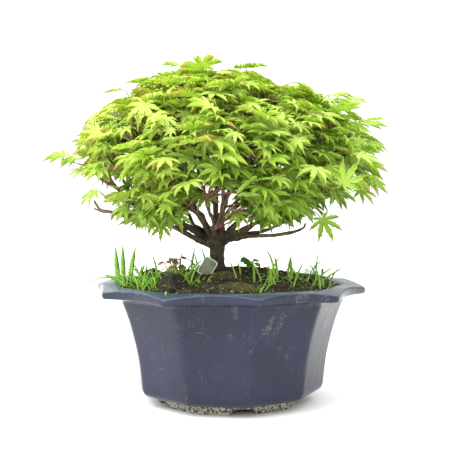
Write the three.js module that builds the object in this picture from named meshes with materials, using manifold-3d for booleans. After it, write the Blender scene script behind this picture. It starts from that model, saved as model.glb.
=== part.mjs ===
// A Japanese maple bonsai growing in a ten-sided glazed stoneware pot, with grass, moss and weeds on the soil.
// Millimetres, +Z up, front towards -Y. The pot stands on z = 0, and the group is centred on its own bounding box.
// The pot's wall is one fired piece with its lip and five feet. Inside it a plastic mesh, held by a bent wire,
// covers the drain hole, and the soil fills the rest. The wood of the tree is one piece, and its leaves grow in
// sprays, each a twig with its leaves, that start where a branch ends.

import * as THREE from "three";
import { mergeVertices } from "three/addons/utils/BufferGeometryUtils.js";
import Module from "manifold-3d";

const wasm = await Module();
wasm.setup();

// ---------------------------------------------------------------- driving sizes

const CLEARANCE = 0.3; // gap between two pieces that touch

const POT_SIDES = 10;
const POT_TURN = 10.7; // degrees from the front to the nearest corner
const SIDE_STEPS = 2; // points along one side of the pot
const RIM_RADIUS = 150; // axis to a corner of the lip
const RIM_HEIGHT = 125.5; // top edge of the lip at a corner
const LIP_FACE = 5; // height of the lip's outer face
const LIP_DIP = 4; // how far the middle of a side of the lip is drawn in
const LIP_LIFT = 3; // how far the middle of a side of the lip stands above its corners
const LIP_WIDTH = 22; // corner of the lip to the corner of the mouth
const MOUTH_RISE = 4.5; // mouth above the lip's corners
const MOUTH_THROAT = 4; // how much narrower the wall is just under the mouth
const WALL = 8;
const FLOOR = 8;
const FOOT_HEIGHT = 9;
const FOOT_INSET = 20; // foot's outside in from the wall's
const FOOT_TAPER = 2.5;
const FOOT_WIDTH = 13;
const FEET = 5;
const NOTCH_WIDTH = 28; // arch between two feet
const NOTCH_HEIGHT = 6.3;
const BODY_RADIUS = 105; // axis to a corner of the wall, where it is upright above the foot
const BODY_PROFILE = [
  // how far the wall's outside stands out from that, and the share of the way up from the foot to the lip
  [-9, 0.011],
  [-4.5, 0.04],
  [-1.5, 0.081],
  [0, 0.135],
  [3.5, 0.413],
  [11.2, 0.682],
  [16, 0.816],
  [20.5, 0.892],
];

const DRAIN_RADIUS = 18;
const MESH_SIDE = 48;
const MESH_THICK = 1.2;
const MESH_CELLS = 4;
const MESH_BAR = 1.8;
const CLIP_WIRE = 1.6; // diameter
const CLIP_FOOT = 12; // length of a leg bent under the floor

const SOIL_DROP = 2.5; // soil's edge below the mouth
const SOIL_RISE = 17; // crown of the soil above its edge
const SOIL_RINGS = 6;

const TRUNK_X = -13;
const TRUNK_RADIUS = 7.8;
const TRUNK_FLARE = 12.5; // radius where the trunk enters the soil
const ROOT_DEPTH = 42; // from the soil's crown to the end of the stump of roots
const CROTCH_RISE = 27; // crotch above the soil
const LIMB_RADIUS = 6.4; // of a limb that carries four shoots, at the crotch
const SHOOT_RADIUS = 2.3;
const TIP_RADIUS = 1.3;
const FORK_SHARE = 0.46; // how far out a limb forks

const LEAF_LENGTH = 31;
const LEAF_THICK = 0.8;
const PETIOLE = 15;
const PETIOLE_WIDTH = 1.3;
const TWIG_LENGTH = 40;
const TWIG_TIP = 0.8; // radius

// One row for each storey of the canopy: how many sprays, where they start out from the axis and above the crotch,
// the turn of the first one, how steeply they rise and how their leaves hang, in degrees.
const STOREYS = [
  { count: 7, reach: 62, height: 32, turn: 12, rise: -2, hang: 32 },
  { count: 9, reach: 104, height: 64, turn: 0, rise: 4, hang: 34 },
  { count: 8, reach: 102, height: 110, turn: 20, rise: 12, hang: 30 },
  { count: 5, reach: 62, height: 146, turn: 40, rise: 24, hang: 24 },
  { count: 2, reach: 22, height: 168, turn: 70, rise: 48, hang: 16 },
];
const CANOPY_X = -5;

const BLADE_WIDTH = 3;
const BLADE_THICK = 0.9;
const WEED_STALK = 0.6; // radius
const TAG_WIDTH = 15;
const TAG_LENGTH = 20;
const TAG_THICK = 1;
const TAG_GAP = 14.5; // from the trunk's foot to the label's lower corner

// ---------------------------------------------------------------- materials

const paint = (color, roughness, metalness = 0) =>
  new THREE.MeshStandardMaterial({ color, roughness, metalness });
const glaze = paint(0x3d4462, 0.3);
const plasticMesh = paint(0x202020, 0.6);
const aluminium = paint(0xb8b8b4, 0.4, 1);
const earth = paint(0x35291d, 0.95);
const darkEarth = paint(0x1e1712, 0.95);
const moss = paint(0x6b6a2c, 0.95);
const bark = paint(0x4f3d2c, 0.85);
const leafGreen = paint(0x8fc93a, 0.5);
const grassGreen = paint(0x6fb02e, 0.5);
const redLeaf = paint(0x9a5a3c, 0.6);
const weedGreen = paint(0x4f8a2c, 0.5);
const tagFilm = paint(0x8fa07c, 0.35);

// ---------------------------------------------------------------- tools

const UP = new THREE.Vector3(0, 0, 1);
const v3 = (x, y, z) => new THREE.Vector3(x, y, z);
const rad = THREE.MathUtils.degToRad;
const lerp = THREE.MathUtils.lerp;

// A repeatable number from -1 to 1 for piece i and trait k.
function vary(i, k) {
  const s = Math.sin(i * 12.9898 + k * 78.233) * 43758.5453;
  return 2 * (s - Math.floor(s)) - 1;
}

// The horizontal direction at an angle in degrees, 0 towards the front and 90 towards +X.
const heading = (degrees) => v3(Math.sin(rad(degrees)), -Math.cos(rad(degrees)), 0);

function geometryOf(points, triangles) {
  const geometry = new THREE.BufferGeometry().setFromPoints(points);
  return geometry.setIndex(triangles);
}

function solidOf(geometry) {
  const bare = geometry.clone();
  bare.deleteAttribute("normal");
  bare.deleteAttribute("uv");
  const merged = mergeVertices(bare, 1e-4);
  return new wasm.Manifold(
    new wasm.Mesh({
      numProp: 3,
      vertProperties: merged.attributes.position.array,
      triVerts: new Uint32Array(merged.index.array),
    }),
  );
}

function meshOf(name, solid, material) {
  const { vertProperties, triVerts } = solid.getMesh();
  const geometry = new THREE.BufferGeometry();
  geometry.setAttribute("position", new THREE.BufferAttribute(vertProperties, 3));
  geometry.setIndex(new THREE.BufferAttribute(triVerts, 1));
  geometry.computeVertexNormals();
  const mesh = new THREE.Mesh(geometry, material);
  mesh.name = name;
  return mesh;
}

const unite = (solids) => wasm.Manifold.union(solids);

// Skins a list of rings, each the same number of points, and closes both ends with a fan round their middles.
function loft(rings) {
  const n = rings[0].length;
  const middle = (ring) =>
    ring.reduce((sum, p) => sum.add(p), v3(0, 0, 0)).divideScalar(n);
  const points = rings.flat();
  const first = points.push(middle(rings[0])) - 1;
  const last = points.push(middle(rings[rings.length - 1])) - 1;
  const triangles = [];
  for (let i = 0; i < n; i++) {
    const j = (i + 1) % n;
    triangles.push(first, j, i);
    for (let k = 0; k < rings.length - 1; k++) {
      const a = k * n;
      const b = a + n;
      triangles.push(a + i, a + j, b + j, a + i, b + j, b + i);
    }
    const top = (rings.length - 1) * n;
    triangles.push(last, top + i, top + j);
  }
  return solidOf(geometryOf(points, triangles));
}

// A tapering round bar along a curve. radiusAt takes the share of the length, from 0 to 1.
function taperedBar(curve, radiusAt, sides, steps) {
  const { normals, binormals } = curve.computeFrenetFrames(steps, false);
  const rings = [];
  for (let k = 0; k <= steps; k++) {
    const centre = curve.getPointAt(k / steps);
    const radius = radiusAt(k / steps);
    const ring = [];
    for (let i = 0; i < sides; i++) {
      const angle = (2 * Math.PI * i) / sides;
      ring.push(
        centre
          .clone()
          .addScaledVector(normals[k], radius * Math.cos(angle))
          .addScaledVector(binormals[k], radius * Math.sin(angle)),
      );
    }
    rings.push(ring);
  }
  return loft(rings);
}

const curveThrough = (points) => new THREE.CatmullRomCurve3(points);

// ---------------------------------------------------------------- pot

// One ring of the pot: straight sides between the corners, drawn in by dip and raised by lift in their middles.
function potRing(radius, height, dip = 0, lift = 0) {
  const ring = [];
  for (let side = 0; side < POT_SIDES; side++) {
    const turn = 360 / POT_SIDES;
    const from = heading(POT_TURN + side * turn).multiplyScalar(radius);
    const to = heading(POT_TURN + (side + 1) * turn).multiplyScalar(radius);
    const outward = heading(POT_TURN + (side + 0.5) * turn);
    for (let step = 0; step < SIDE_STEPS; step++) {
      const share = step / SIDE_STEPS;
      const bow = Math.sin(Math.PI * share);
      const point = from.clone().lerp(to, share).addScaledVector(outward, -dip * bow);
      point.z = height + lift * bow;
      ring.push(point);
    }
  }
  return ring;
}

const footRadius = BODY_RADIUS - FOOT_INSET;
const mouthRadius = RIM_RADIUS - LIP_WIDTH;
const floorHeight = FOOT_HEIGHT + FLOOR;
const mouthHeight = RIM_HEIGHT + MOUTH_RISE;
const lipUnder = RIM_HEIGHT - LIP_FACE;
const body = BODY_PROFILE.map(([out, share]) => [BODY_RADIUS + out, lerp(FOOT_HEIGHT, lipUnder, share)]);
// The inside of the wall, from the floor up to the mouth, as corner radius and height.
const insideProfile = [
  [body[2][0] - WALL - 5, floorHeight],
  ...body.slice(3).map(([radius, height]) => [radius - WALL, height]),
  [mouthRadius - MOUTH_THROAT, mouthHeight - 8],
  [mouthRadius, mouthHeight - 1.5],
];

function makePot() {
  const outside = [
    potRing(footRadius, FOOT_HEIGHT),
    ...body.map(([radius, height]) => potRing(radius, height)),
    potRing(lerp(body.at(-1)[0], RIM_RADIUS, 0.3), lipUnder - 8),
    potRing(RIM_RADIUS - 3, lipUnder - 1, LIP_DIP, LIP_LIFT * 0.7),
    potRing(RIM_RADIUS - 0.8, lipUnder + 0.6, LIP_DIP, LIP_LIFT * 0.8),
    potRing(RIM_RADIUS, RIM_HEIGHT - 1, LIP_DIP, LIP_LIFT),
    potRing(RIM_RADIUS - 1, RIM_HEIGHT, LIP_DIP, LIP_LIFT),
    potRing(lerp(mouthRadius, RIM_RADIUS, 0.45), mouthHeight - 1, LIP_DIP * 0.4, 0.8),
    potRing(mouthRadius + 2, mouthHeight),
  ];
  const inside = insideProfile.map(([radius, height]) => potRing(radius, height)).reverse();
  const shell = loft([...outside, ...inside]);

  const foot = loft([potRing(footRadius - FOOT_TAPER, 0), potRing(footRadius, FOOT_HEIGHT + 1)]).subtract(
    loft([
      potRing(footRadius - FOOT_WIDTH, -1),
      potRing(footRadius - FOOT_WIDTH, FOOT_HEIGHT),
    ]),
  );
  const arch = new THREE.Shape().absellipse(0, 0, NOTCH_WIDTH / 2, NOTCH_HEIGHT, 0, Math.PI);
  arch.lineTo(NOTCH_WIDTH / 2, 0);
  const cut = new THREE.ExtrudeGeometry(arch, {
    depth: 2 * FOOT_WIDTH,
    bevelEnabled: false,
    curveSegments: 4,
  });
  // Stands the arch up with its tunnel along +Y, at the foot's middle radius, just under the floor it stands on.
  cut.rotateX(Math.PI / 2).translate(0, -(footRadius - 1.5 * FOOT_WIDTH), -0.01);
  const notches = [];
  for (let i = 0; i < FEET; i++) {
    notches.push(solidOf(cut.clone().rotateZ(rad(POT_TURN + (i * 360) / FEET))));
  }
  const drain = new THREE.CylinderGeometry(DRAIN_RADIUS, DRAIN_RADIUS, 4 * FLOOR, 16)
    .rotateX(Math.PI / 2)
    .translate(0, 0, floorHeight - FLOOR / 2);
  return unite([shell, foot.subtract(unite(notches))]).subtract(solidOf(drain));
}

// ---------------------------------------------------------------- drain mesh and its clip

const meshTop = floorHeight + CLEARANCE + MESH_THICK;
const meshPitch = (MESH_SIDE - MESH_BAR) / MESH_CELLS;

function makeDrainMesh() {
  const bars = [];
  for (let i = 0; i <= MESH_CELLS; i++) {
    const offset = (MESH_BAR - MESH_SIDE) / 2 + i * meshPitch;
    const middle = floorHeight + CLEARANCE + MESH_THICK / 2;
    const alongY = new THREE.BoxGeometry(MESH_BAR, MESH_SIDE, MESH_THICK);
    const alongX = new THREE.BoxGeometry(MESH_SIDE, MESH_BAR, MESH_THICK);
    bars.push(solidOf(alongY.translate(offset, 0, middle)));
    bars.push(solidOf(alongX.translate(0, offset, middle)));
  }
  return unite(bars);
}

// The clip lies over the mesh, goes down through two of its holes and the drain, and is bent out under the floor.
const clipRadius = CLIP_WIRE / 2;
const clipTop = meshTop + CLEARANCE + clipRadius;

function makeMeshClip() {
  const leg = meshPitch / 2;
  const under = FOOT_HEIGHT - CLEARANCE - clipRadius;
  const row = meshPitch / 2;
  const corners = [
    v3(-leg - CLIP_FOOT, row, under),
    v3(-leg, row, under),
    v3(-leg, row, clipTop),
    v3(leg, row, clipTop),
    v3(leg, row, under),
    v3(leg + CLIP_FOOT, row, under),
  ];
  const bars = [];
  for (let i = 0; i + 1 < corners.length; i++) {
    const along = corners[i + 1].clone().sub(corners[i]);
    const bar = new THREE.CylinderGeometry(clipRadius, clipRadius, along.length() + CLIP_WIRE * 0.6, 8);
    bar.applyQuaternion(new THREE.Quaternion().setFromUnitVectors(v3(0, 1, 0), along.clone().normalize()));
    const middle = corners[i].clone().add(corners[i + 1]).multiplyScalar(0.5);
    bars.push(solidOf(bar.translate(...middle)));
  }
  return unite(bars);
}

// ---------------------------------------------------------------- soil, clods and moss

const soilEdge = mouthHeight - SOIL_DROP;
const soilRadius = mouthRadius - MOUTH_THROAT;

// Height of the soil's top: a low crown round the trunk with small lumps.
function soilHeight(x, y) {
  const out = Math.min(1, Math.hypot(x, y) / (mouthRadius - 2));
  const crown = SOIL_RISE * (1 - out ** 2.2);
  const lumps = Math.sin(x / 9 + 1) * Math.cos(y / 11) + 0.7 * Math.sin(x / 5 + y / 7);
  return soilEdge + crown + lumps * (1 - out ** 4);
}

const soilTop = soilHeight(TRUNK_X, 0);

// The foot of the trunk with its stump of roots, grown by `extra` all round to cut its place in the soil.
function trunkBase(extra = 0) {
  const profile = [
    [0, soilTop - ROOT_DEPTH - extra],
    [TRUNK_FLARE * 1.25 + extra, soilTop - ROOT_DEPTH - extra],
    [TRUNK_FLARE * 1.35 + extra, soilTop - ROOT_DEPTH / 2],
    [TRUNK_FLARE + extra, soilTop],
    [TRUNK_RADIUS * 1.12 + extra, soilTop + 9],
    [TRUNK_RADIUS + extra, soilTop + 20],
    [0, soilTop + 20],
  ].map(([radius, height]) => new THREE.Vector2(radius, height));
  const turned = new THREE.LatheGeometry(profile, 12).rotateX(Math.PI / 2);
  return solidOf(turned.translate(TRUNK_X, 0, 0));
}

function makeSoil() {
  const tuck = (profile) => potRing(profile[0] - CLEARANCE, profile[1]);
  const rings = [potRing(insideProfile[0][0] - CLEARANCE, floorHeight + CLEARANCE)];
  rings.push(...insideProfile.slice(1, -2).map(tuck));
  for (let k = 0; k < SOIL_RINGS; k++) {
    const ring = potRing(soilRadius * (1 - k / SOIL_RINGS), 0);
    for (const point of ring) {
      point.z = k ? soilHeight(point.x, point.y) : soilEdge - 3;
    }
    rings.push(ring);
  }
  const recess = new THREE.BoxGeometry(MESH_SIDE + 2 * CLEARANCE, MESH_SIDE + 2 * CLEARANCE, 12);
  recess.translate(0, 0, clipTop + clipRadius + CLEARANCE - 6);
  return loft(rings).subtract(solidOf(recess)).subtract(trunkBase(CLEARANCE));
}

const soil = makeSoil();
const soilRaised = soil.translate([0, 0, CLEARANCE]);

// A point on the soil: a heading in degrees, the share of the way out to the soil's edge, and a height above it.
function onSoil(degrees, share, above = 0) {
  const point = heading(degrees).multiplyScalar(share * soilRadius * Math.cos(Math.PI / POT_SIDES));
  point.z = soilHeight(point.x, point.y) + above;
  return point;
}

// A low rounded lump that lies on the soil.
function cushion(degrees, share, width, depth, height) {
  const ball = new THREE.SphereGeometry(1, 10, 6).rotateX(Math.PI / 2);
  ball.scale(width / 2, depth / 2, height).translate(...onSoil(degrees, share));
  return solidOf(ball).subtract(soilRaised);
}

// ---------------------------------------------------------------- wood

// Where each spray of leaves starts, which way it heads and how its leaves hang.
function canopySeats() {
  const seats = [];
  STOREYS.forEach((storey, level) => {
    for (let i = 0; i < storey.count; i++) {
      const n = seats.length;
      const degrees = storey.turn + (i * 360) / storey.count + 6 * vary(n, 1);
      const out = heading(degrees);
      const start = out.clone().multiplyScalar(storey.reach * (1 + 0.08 * vary(n, 2)));
      start.x += CANOPY_X;
      start.z = crotch.z + storey.height + 6 * vary(n, 3);
      seats.push({ level, degrees, start, rise: storey.rise + 6 * vary(n, 4), hang: storey.hang });
    }
  });
  return seats;
}

const crotch = v3(TRUNK_X, 0, soilTop + CROTCH_RISE);
const seats = canopySeats();
const headingOf = (seat) =>
  heading(seat.degrees)
    .multiplyScalar(Math.cos(rad(seat.rise)))
    .addScaledVector(UP, Math.sin(rad(seat.rise)));

// Seats that share a limb: each storey is cut into sectors, about three or four shoots to a limb.
function limbGroups() {
  const groups = new Map();
  for (const seat of seats) {
    const sector = Math.floor((((seat.degrees + 360) % 360) / 360) * [4, 5, 4, 3, 1][seat.level]);
    const key = `${Math.floor(seat.level / 2)}-${seat.level < 2 ? sector % 5 : sector}`;
    if (!groups.has(key)) groups.set(key, []);
    groups.get(key).push(seat);
  }
  return [...groups.values()];
}

function makeWood() {
  const parts = [trunkBase()];
  parts.push(
    taperedBar(
      new THREE.LineCurve3(v3(TRUNK_X, 0, soilTop + 12), crotch),
      (t) => TRUNK_RADIUS * (1 + 0.5 * t ** 3),
      10,
      3,
    ),
  );
  limbGroups().forEach((group, g) => {
    const middle = group
      .reduce((sum, seat) => sum.add(seat.start), v3(0, 0, 0))
      .divideScalar(group.length);
    const fork = crotch.clone().lerp(middle, FORK_SHARE);
    const thick = LIMB_RADIUS * Math.sqrt(group.length / 4);
    const bow = crotch.clone().lerp(fork, 0.5).addScaledVector(UP, 3 * vary(g, 5));
    parts.push(
      taperedBar(
        curveThrough([crotch.clone().addScaledVector(UP, -6), bow, fork]),
        (t) => lerp(thick, SHOOT_RADIUS * 1.3, t ** 0.8),
        6,
        2,
      ),
    );
    for (const seat of group) {
      const inward = headingOf(seat).multiplyScalar(-0.3 * seat.start.distanceTo(fork));
      const bend = seat.start.clone().add(inward);
      parts.push(
        taperedBar(
          curveThrough([fork, bend, seat.start]),
          (t) => lerp(SHOOT_RADIUS, TIP_RADIUS, t),
          5,
          2,
        ),
      );
    }
  });
  return unite(parts);
}

// ---------------------------------------------------------------- sprays of leaves

// A palmate leaf with five pointed lobes, flat in XY, its stalk along -Y and the stalk's end at the origin.
function leafOutline(length) {
  const lobes = [
    [-84, 0.62],
    [-44, 0.9],
    [-20, 0.36],
    [0, 1],
    [20, 0.36],
    [44, 0.9],
    [84, 0.62],
  ];
  const half = PETIOLE_WIDTH / 2;
  const outline = new THREE.Shape();
  outline.moveTo(half, 0);
  outline.lineTo(half, PETIOLE - 1);
  for (const [degrees, share] of lobes.reverse()) {
    const reach = share * length;
    outline.lineTo(reach * Math.sin(rad(degrees)), PETIOLE + reach * Math.cos(rad(degrees)));
  }
  outline.lineTo(-half, PETIOLE - 1);
  outline.lineTo(-half, 0);
  return outline;
}

// Extra grows the leaf all round, for testing that it keeps clear of its neighbours.
function leafSolid(size, extra = 0) {
  const plate = new THREE.ExtrudeGeometry(leafOutline(LEAF_LENGTH * size + extra), {
    depth: LEAF_THICK + 2 * extra,
    bevelEnabled: false,
  });
  return plate.translate(0, 0, -LEAF_THICK / 2 - extra);
}

// Turns a leaf so that its midrib heads along `degrees`, hanging down by `hang`, with its stalk's end at `at`.
function placed(leaf, at, degrees, hang) {
  const along = heading(degrees)
    .multiplyScalar(Math.cos(rad(hang)))
    .addScaledVector(UP, -Math.sin(rad(hang)));
  const across = heading(degrees + 90);
  const face = across.clone().cross(along);
  const frame = new THREE.Matrix4().makeBasis(across, along, face).setPosition(at);
  return solidOf(leaf.applyMatrix4(frame));
}

const boxesMeet = (a, b) => [0, 1, 2].every((k) => a.min[k] < b.max[k] && b.min[k] < a.max[k]);

function clearOf(solid, others) {
  const box = solid.boundingBox();
  return others.every((other) => !boxesMeet(box, other.box) || solid.intersect(other.solid).isEmpty());
}

// Leaves of one spray: share of the twig where the stalk starts, and how far it turns from the twig's heading.
const SIDE_LEAVES = [
  [1, 4],
  [0.86, 58],
  [0.8, -56],
  [0.42, 76],
  [0.36, -78],
];
const TOP_LEAVES = [
  [1, 10],
  [0.9, 84],
  [0.84, -76],
  [0.6, 150],
  [0.5, -140],
];
// A leaf that would touch something already grown tries these changes of hang and size, in this order.
const TRIES = [
  [0, 1],
  [14, 1],
  [-14, 1],
  [26, 0.9],
  [-26, 0.9],
  [8, 0.75],
  [-34, 0.75],
  [38, 0.7],
];

function makeSpray(seat, index, grown) {
  const along = headingOf(seat);
  const start = seat.start.clone().addScaledVector(along, CLEARANCE);
  const end = start.clone().addScaledVector(along, TWIG_LENGTH).addScaledVector(UP, -3);
  const middle = start.clone().lerp(end, 0.5).addScaledVector(UP, 1.5);
  const twig = curveThrough([start, middle, end]);
  const pieces = [taperedBar(twig, (t) => lerp(TIP_RADIUS, TWIG_TIP, t), 4, 2)];
  const own = [];
  const leaves = seat.level === STOREYS.length - 1 ? TOP_LEAVES : SIDE_LEAVES;
  leaves.forEach(([share, turn], k) => {
    const at = twig.getPointAt(share === 1 ? 0.985 : share);
    const degrees = seat.degrees + turn + 8 * vary(index, 10 + k);
    for (const [swing, shrink] of TRIES) {
      const hang = seat.hang + swing + 8 * vary(index, 20 + k);
      const size = shrink * (1 + 0.12 * vary(index, 30 + k));
      const leaf = placed(leafSolid(size, CLEARANCE), at, degrees, hang);
      if (clearOf(leaf, grown) && clearOf(leaf, own)) {
        pieces.push(placed(leafSolid(size), at, degrees, hang));
        own.push({ solid: leaf, box: leaf.boundingBox() });
        return;
      }
    }
  });
  return unite(pieces);
}

// ---------------------------------------------------------------- grass and weeds

// A blade of grass: a flat rhombus section that narrows to a point along a bent line.
function blade(root, degrees, length, lean, curl, width = BLADE_WIDTH) {
  const out = heading(degrees);
  const across = heading(degrees + 90);
  const rings = [];
  const steps = 3;
  const at = root.clone();
  for (let k = 0; k <= steps; k++) {
    const share = k / steps;
    const tilt = rad(lean + curl * share);
    const along = out.clone().multiplyScalar(Math.sin(tilt)).addScaledVector(UP, Math.cos(tilt));
    const face = across.clone().cross(along);
    const half = (width / 2) * Math.max(0.08, Math.sin(Math.PI * (0.25 + 0.75 * share)) ** 0.7);
    const thick = (BLADE_THICK / 2) * (1 - 0.7 * share);
    rings.push([
      at.clone().addScaledVector(across, half),
      at.clone().addScaledVector(face, -thick),
      at.clone().addScaledVector(across, -half),
      at.clone().addScaledVector(face, thick),
    ]);
    at.addScaledVector(along, length / steps);
  }
  return loft(rings);
}

// Heading, share of the way out to the soil's edge, blades, length and spread of each tuft.
const TUFTS = [
  { degrees: -77, share: 0.93, blades: 5, length: 40, spread: 24 },
  { degrees: -56, share: 0.93, blades: 5, length: 30, spread: 40 },
  { degrees: -45, share: 0.9, blades: 4, length: 24, spread: 48 },
  { degrees: -22, share: 0.7, blades: 5, length: 34, spread: 34 },
  { degrees: -69, share: 0.43, blades: 4, length: 26, spread: 36 },
  { degrees: 41, share: 0.65, blades: 3, length: 34, spread: 30 },
  { degrees: 60, share: 0.86, blades: 4, length: 40, spread: 34 },
  { degrees: 110, share: 0.86, blades: 4, length: 32, spread: 38 },
];

function makeTuft(tuft, index) {
  const crown = new THREE.SphereGeometry(1, 6, 4).rotateX(Math.PI / 2);
  crown.scale(4.5, 4.5, 3.2).translate(...onSoil(tuft.degrees, tuft.share));
  const parts = [solidOf(crown)];
  for (let k = 0; k < tuft.blades; k++) {
    const degrees = (k * 360) / tuft.blades + 30 * vary(index, k);
    const length = tuft.length * (0.85 + 0.25 * vary(index, 10 + k));
    const root = onSoil(tuft.degrees, tuft.share).addScaledVector(heading(degrees), 2);
    const lean = 6 + tuft.spread * 0.3 * (1 + vary(index, 20 + k));
    parts.push(blade(root, degrees, length, lean, tuft.spread));
  }
  return unite(parts).subtract(soilRaised);
}

// A low weed: thin stalks from one root, each with a small rounded leaf.
function makeWeed(place, stalks, reach, leafWidth, seed) {
  const root = onSoil(...place);
  const knob = new THREE.SphereGeometry(2.6, 5, 3).translate(...root);
  const parts = [solidOf(knob)];
  for (let k = 0; k < stalks; k++) {
    const out = heading((k * 360) / stalks + 25 * vary(seed, k)).multiplyScalar(reach);
    const height = reach * (0.9 + 0.25 * vary(seed, 10 + k));
    const bend = root.clone().addScaledVector(out, 0.15).addScaledVector(UP, 0.6 * height);
    const end = root.clone().addScaledVector(out, 0.55).addScaledVector(UP, height);
    parts.push(taperedBar(curveThrough([root, bend, end]), () => WEED_STALK, 4, 2));
    const leaf = new THREE.SphereGeometry(1, 6, 2).rotateX(Math.PI / 2);
    leaf.scale(leafWidth / 2, leafWidth / 2, 0.7).rotateX(rad(20 * vary(seed, 20 + k)));
    parts.push(solidOf(leaf.translate(...end)));
  }
  return unite(parts).subtract(soilRaised);
}

// ---------------------------------------------------------------- tag and fallen leaf

// A clear plastic label with a raised edge, standing on one corner in the soil and leaning towards the trunk.
function makeTag() {
  const sheet = new THREE.Shape();
  sheet.moveTo(0, 0).lineTo(TAG_WIDTH, 0).lineTo(TAG_WIDTH, TAG_LENGTH).lineTo(0, TAG_LENGTH);
  const plate = new THREE.ExtrudeGeometry(sheet, { depth: TAG_THICK, bevelEnabled: false });
  plate.translate(-TAG_WIDTH, 0, 0).rotateZ(rad(-28)).rotateX(rad(68));
  const front = -TRUNK_FLARE - TAG_GAP;
  plate.translate(TRUNK_X, front, soilHeight(TRUNK_X, front) + 1);
  return solidOf(plate).subtract(soilRaised);
}

function makeFallenLeaf() {
  const leaf = new THREE.SphereGeometry(1, 8, 4).rotateX(Math.PI / 2);
  leaf.scale(3.2, 5, 1.1).rotateX(rad(35)).rotateZ(rad(40));
  return solidOf(leaf.translate(...onSoil(62, 0.4, 3.4))).subtract(soilRaised);
}

// ---------------------------------------------------------------- assembly

const group = new THREE.Group();
const grown = []; // what stands above the soil, which the leaves keep clear of
function add(name, solid, material) {
  group.add(meshOf(name, solid, material));
  grown.push({ solid, box: solid.boundingBox() });
}

add("pot", makePot(), glaze);
add("drain_mesh", makeDrainMesh(), plasticMesh);
add("drain_mesh_clip", makeMeshClip(), aluminium);
add("soil", soil, earth);
add("soil_clod_left", cushion(-67, 0.76, 24, 20, 11), darkEarth);
add("soil_clod_front", cushion(-34, 0.9, 30, 22, 14), darkEarth);
add("moss_front", cushion(7, 0.84, 40, 18, 3.5), moss);
add("moss_trunk", cushion(-2, 0.52, 34, 22, 5), moss);
add("moss_right", cushion(82, 0.84, 26, 30, 4), moss);
add("trunk_and_branches", makeWood(), bark);
add("plant_tag", makeTag(), tagFilm);
add("red_leaved_weed", makeWeed([-101, 0.53], 5, 18, 7.5, 3), redLeaf);
add("round_leaved_weed", makeWeed([135, 0.3], 4, 10, 9, 4), weedGreen);
add("fallen_leaf", makeFallenLeaf(), redLeaf);
TUFTS.forEach((tuft, i) => add(`grass_tuft_${i + 1}`, makeTuft(tuft, i), grassGreen));
seats.forEach((seat, i) => {
  add(`leaf_spray_${String(i + 1).padStart(2, "0")}`, makeSpray(seat, i, grown), leafGreen);
});

// Centres the object on the middle of its bounding box, standing on z = 0.
const box = new THREE.Box3().setFromObject(group, true);
const centre = box.getCenter(v3(0, 0, 0));
group.position.set(-centre.x, -centre.y, 0);

export default group;
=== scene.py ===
"""A Japanese maple bonsai in a ten-sided glazed pot: its fine surfaces and finishes, built on the frame.

Shapes are worked out in millimetres from the pot's axis at the height of its feet,
with +Z up and -Y to the front.
"""

import functools
import math

import bpy
import numpy as np
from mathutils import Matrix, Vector


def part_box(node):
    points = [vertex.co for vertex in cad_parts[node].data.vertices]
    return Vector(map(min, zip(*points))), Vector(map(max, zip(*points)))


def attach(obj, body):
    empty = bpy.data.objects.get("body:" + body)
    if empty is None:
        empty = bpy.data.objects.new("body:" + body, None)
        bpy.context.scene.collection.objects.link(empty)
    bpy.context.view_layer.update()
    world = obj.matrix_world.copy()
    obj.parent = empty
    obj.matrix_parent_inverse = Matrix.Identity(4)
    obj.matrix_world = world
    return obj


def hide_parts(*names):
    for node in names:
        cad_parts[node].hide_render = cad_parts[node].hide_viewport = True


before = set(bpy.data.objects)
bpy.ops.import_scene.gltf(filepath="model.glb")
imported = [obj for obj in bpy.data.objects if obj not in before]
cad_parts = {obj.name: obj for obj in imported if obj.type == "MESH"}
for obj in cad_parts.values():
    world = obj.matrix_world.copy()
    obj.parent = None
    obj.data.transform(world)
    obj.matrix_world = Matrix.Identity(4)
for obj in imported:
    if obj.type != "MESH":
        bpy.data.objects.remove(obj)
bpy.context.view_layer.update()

MM = 0.001
pot_low, pot_high = (np.array(corner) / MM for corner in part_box("pot"))
AXIS = np.array([*(pot_low + pot_high)[:2] / 2, pot_low[2]])

# ---- sizes, in millimetres and degrees

SIDES = 10
SIDE_TURN = 360 / SIDES
POT_TURN = 10.7  # from the front to the nearest corner
MOUTH_HEIGHT = (pot_high - pot_low)[2]
RIM_RADIUS = (pot_high - pot_low)[0] / 2 / math.sin(math.radians(POT_TURN + 2 * SIDE_TURN))
MOUTH_RADIUS = RIM_RADIUS - 22
FOOT_HEIGHT = 9
NOTCH_HALF = 13.5
NOTCH_HEIGHT = 6.4
NOTCHES = 5
LIP_WARP = 1.9
CORNER_SOFTNESS = 120  # power of the norm that rounds the pot's corners: higher is sharper

FOOT_MIDDLE = 78  # radius of the middle of the foot ring

SOIL_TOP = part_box("soil")[1][2] / MM - AXIS[2]
SOIL_EDGE = MOUTH_HEIGHT - 3.5
SOIL_RISE = SOIL_TOP - SOIL_EDGE - 2
SOIL_BOTTOM = 20.8
CRUMBS = 9000
GRASS_LIMIT = 0.915  # how near to the mouth's corners grass has its roots, as a share

TRUNK_RADIUS = 7.6
LIMBS = 13
WOOD_CELL = 1.15  # of the grid on which the bars of the wood are joined

LABEL_SHIFT = np.array([-8.2, -16.0, -7.4])  # from the middle of its CAD plate
LABEL_HALF_WIDE = 7.7
LABEL_HALF_LONG = 10.4
LABEL_THICK = 0.36
LOW_GRASS_AT = -22  # the middle of a strip in front of the label, where the grass stays low
LOW_GRASS_HALF = 17
LOW_GRASS_SHARE = 0.35

LEAF_LENGTH = 20.8  # from the stalk to the tip of the middle lobe, on average
LEAF_THICK = 0.3
LEAVES = 3750

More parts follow.
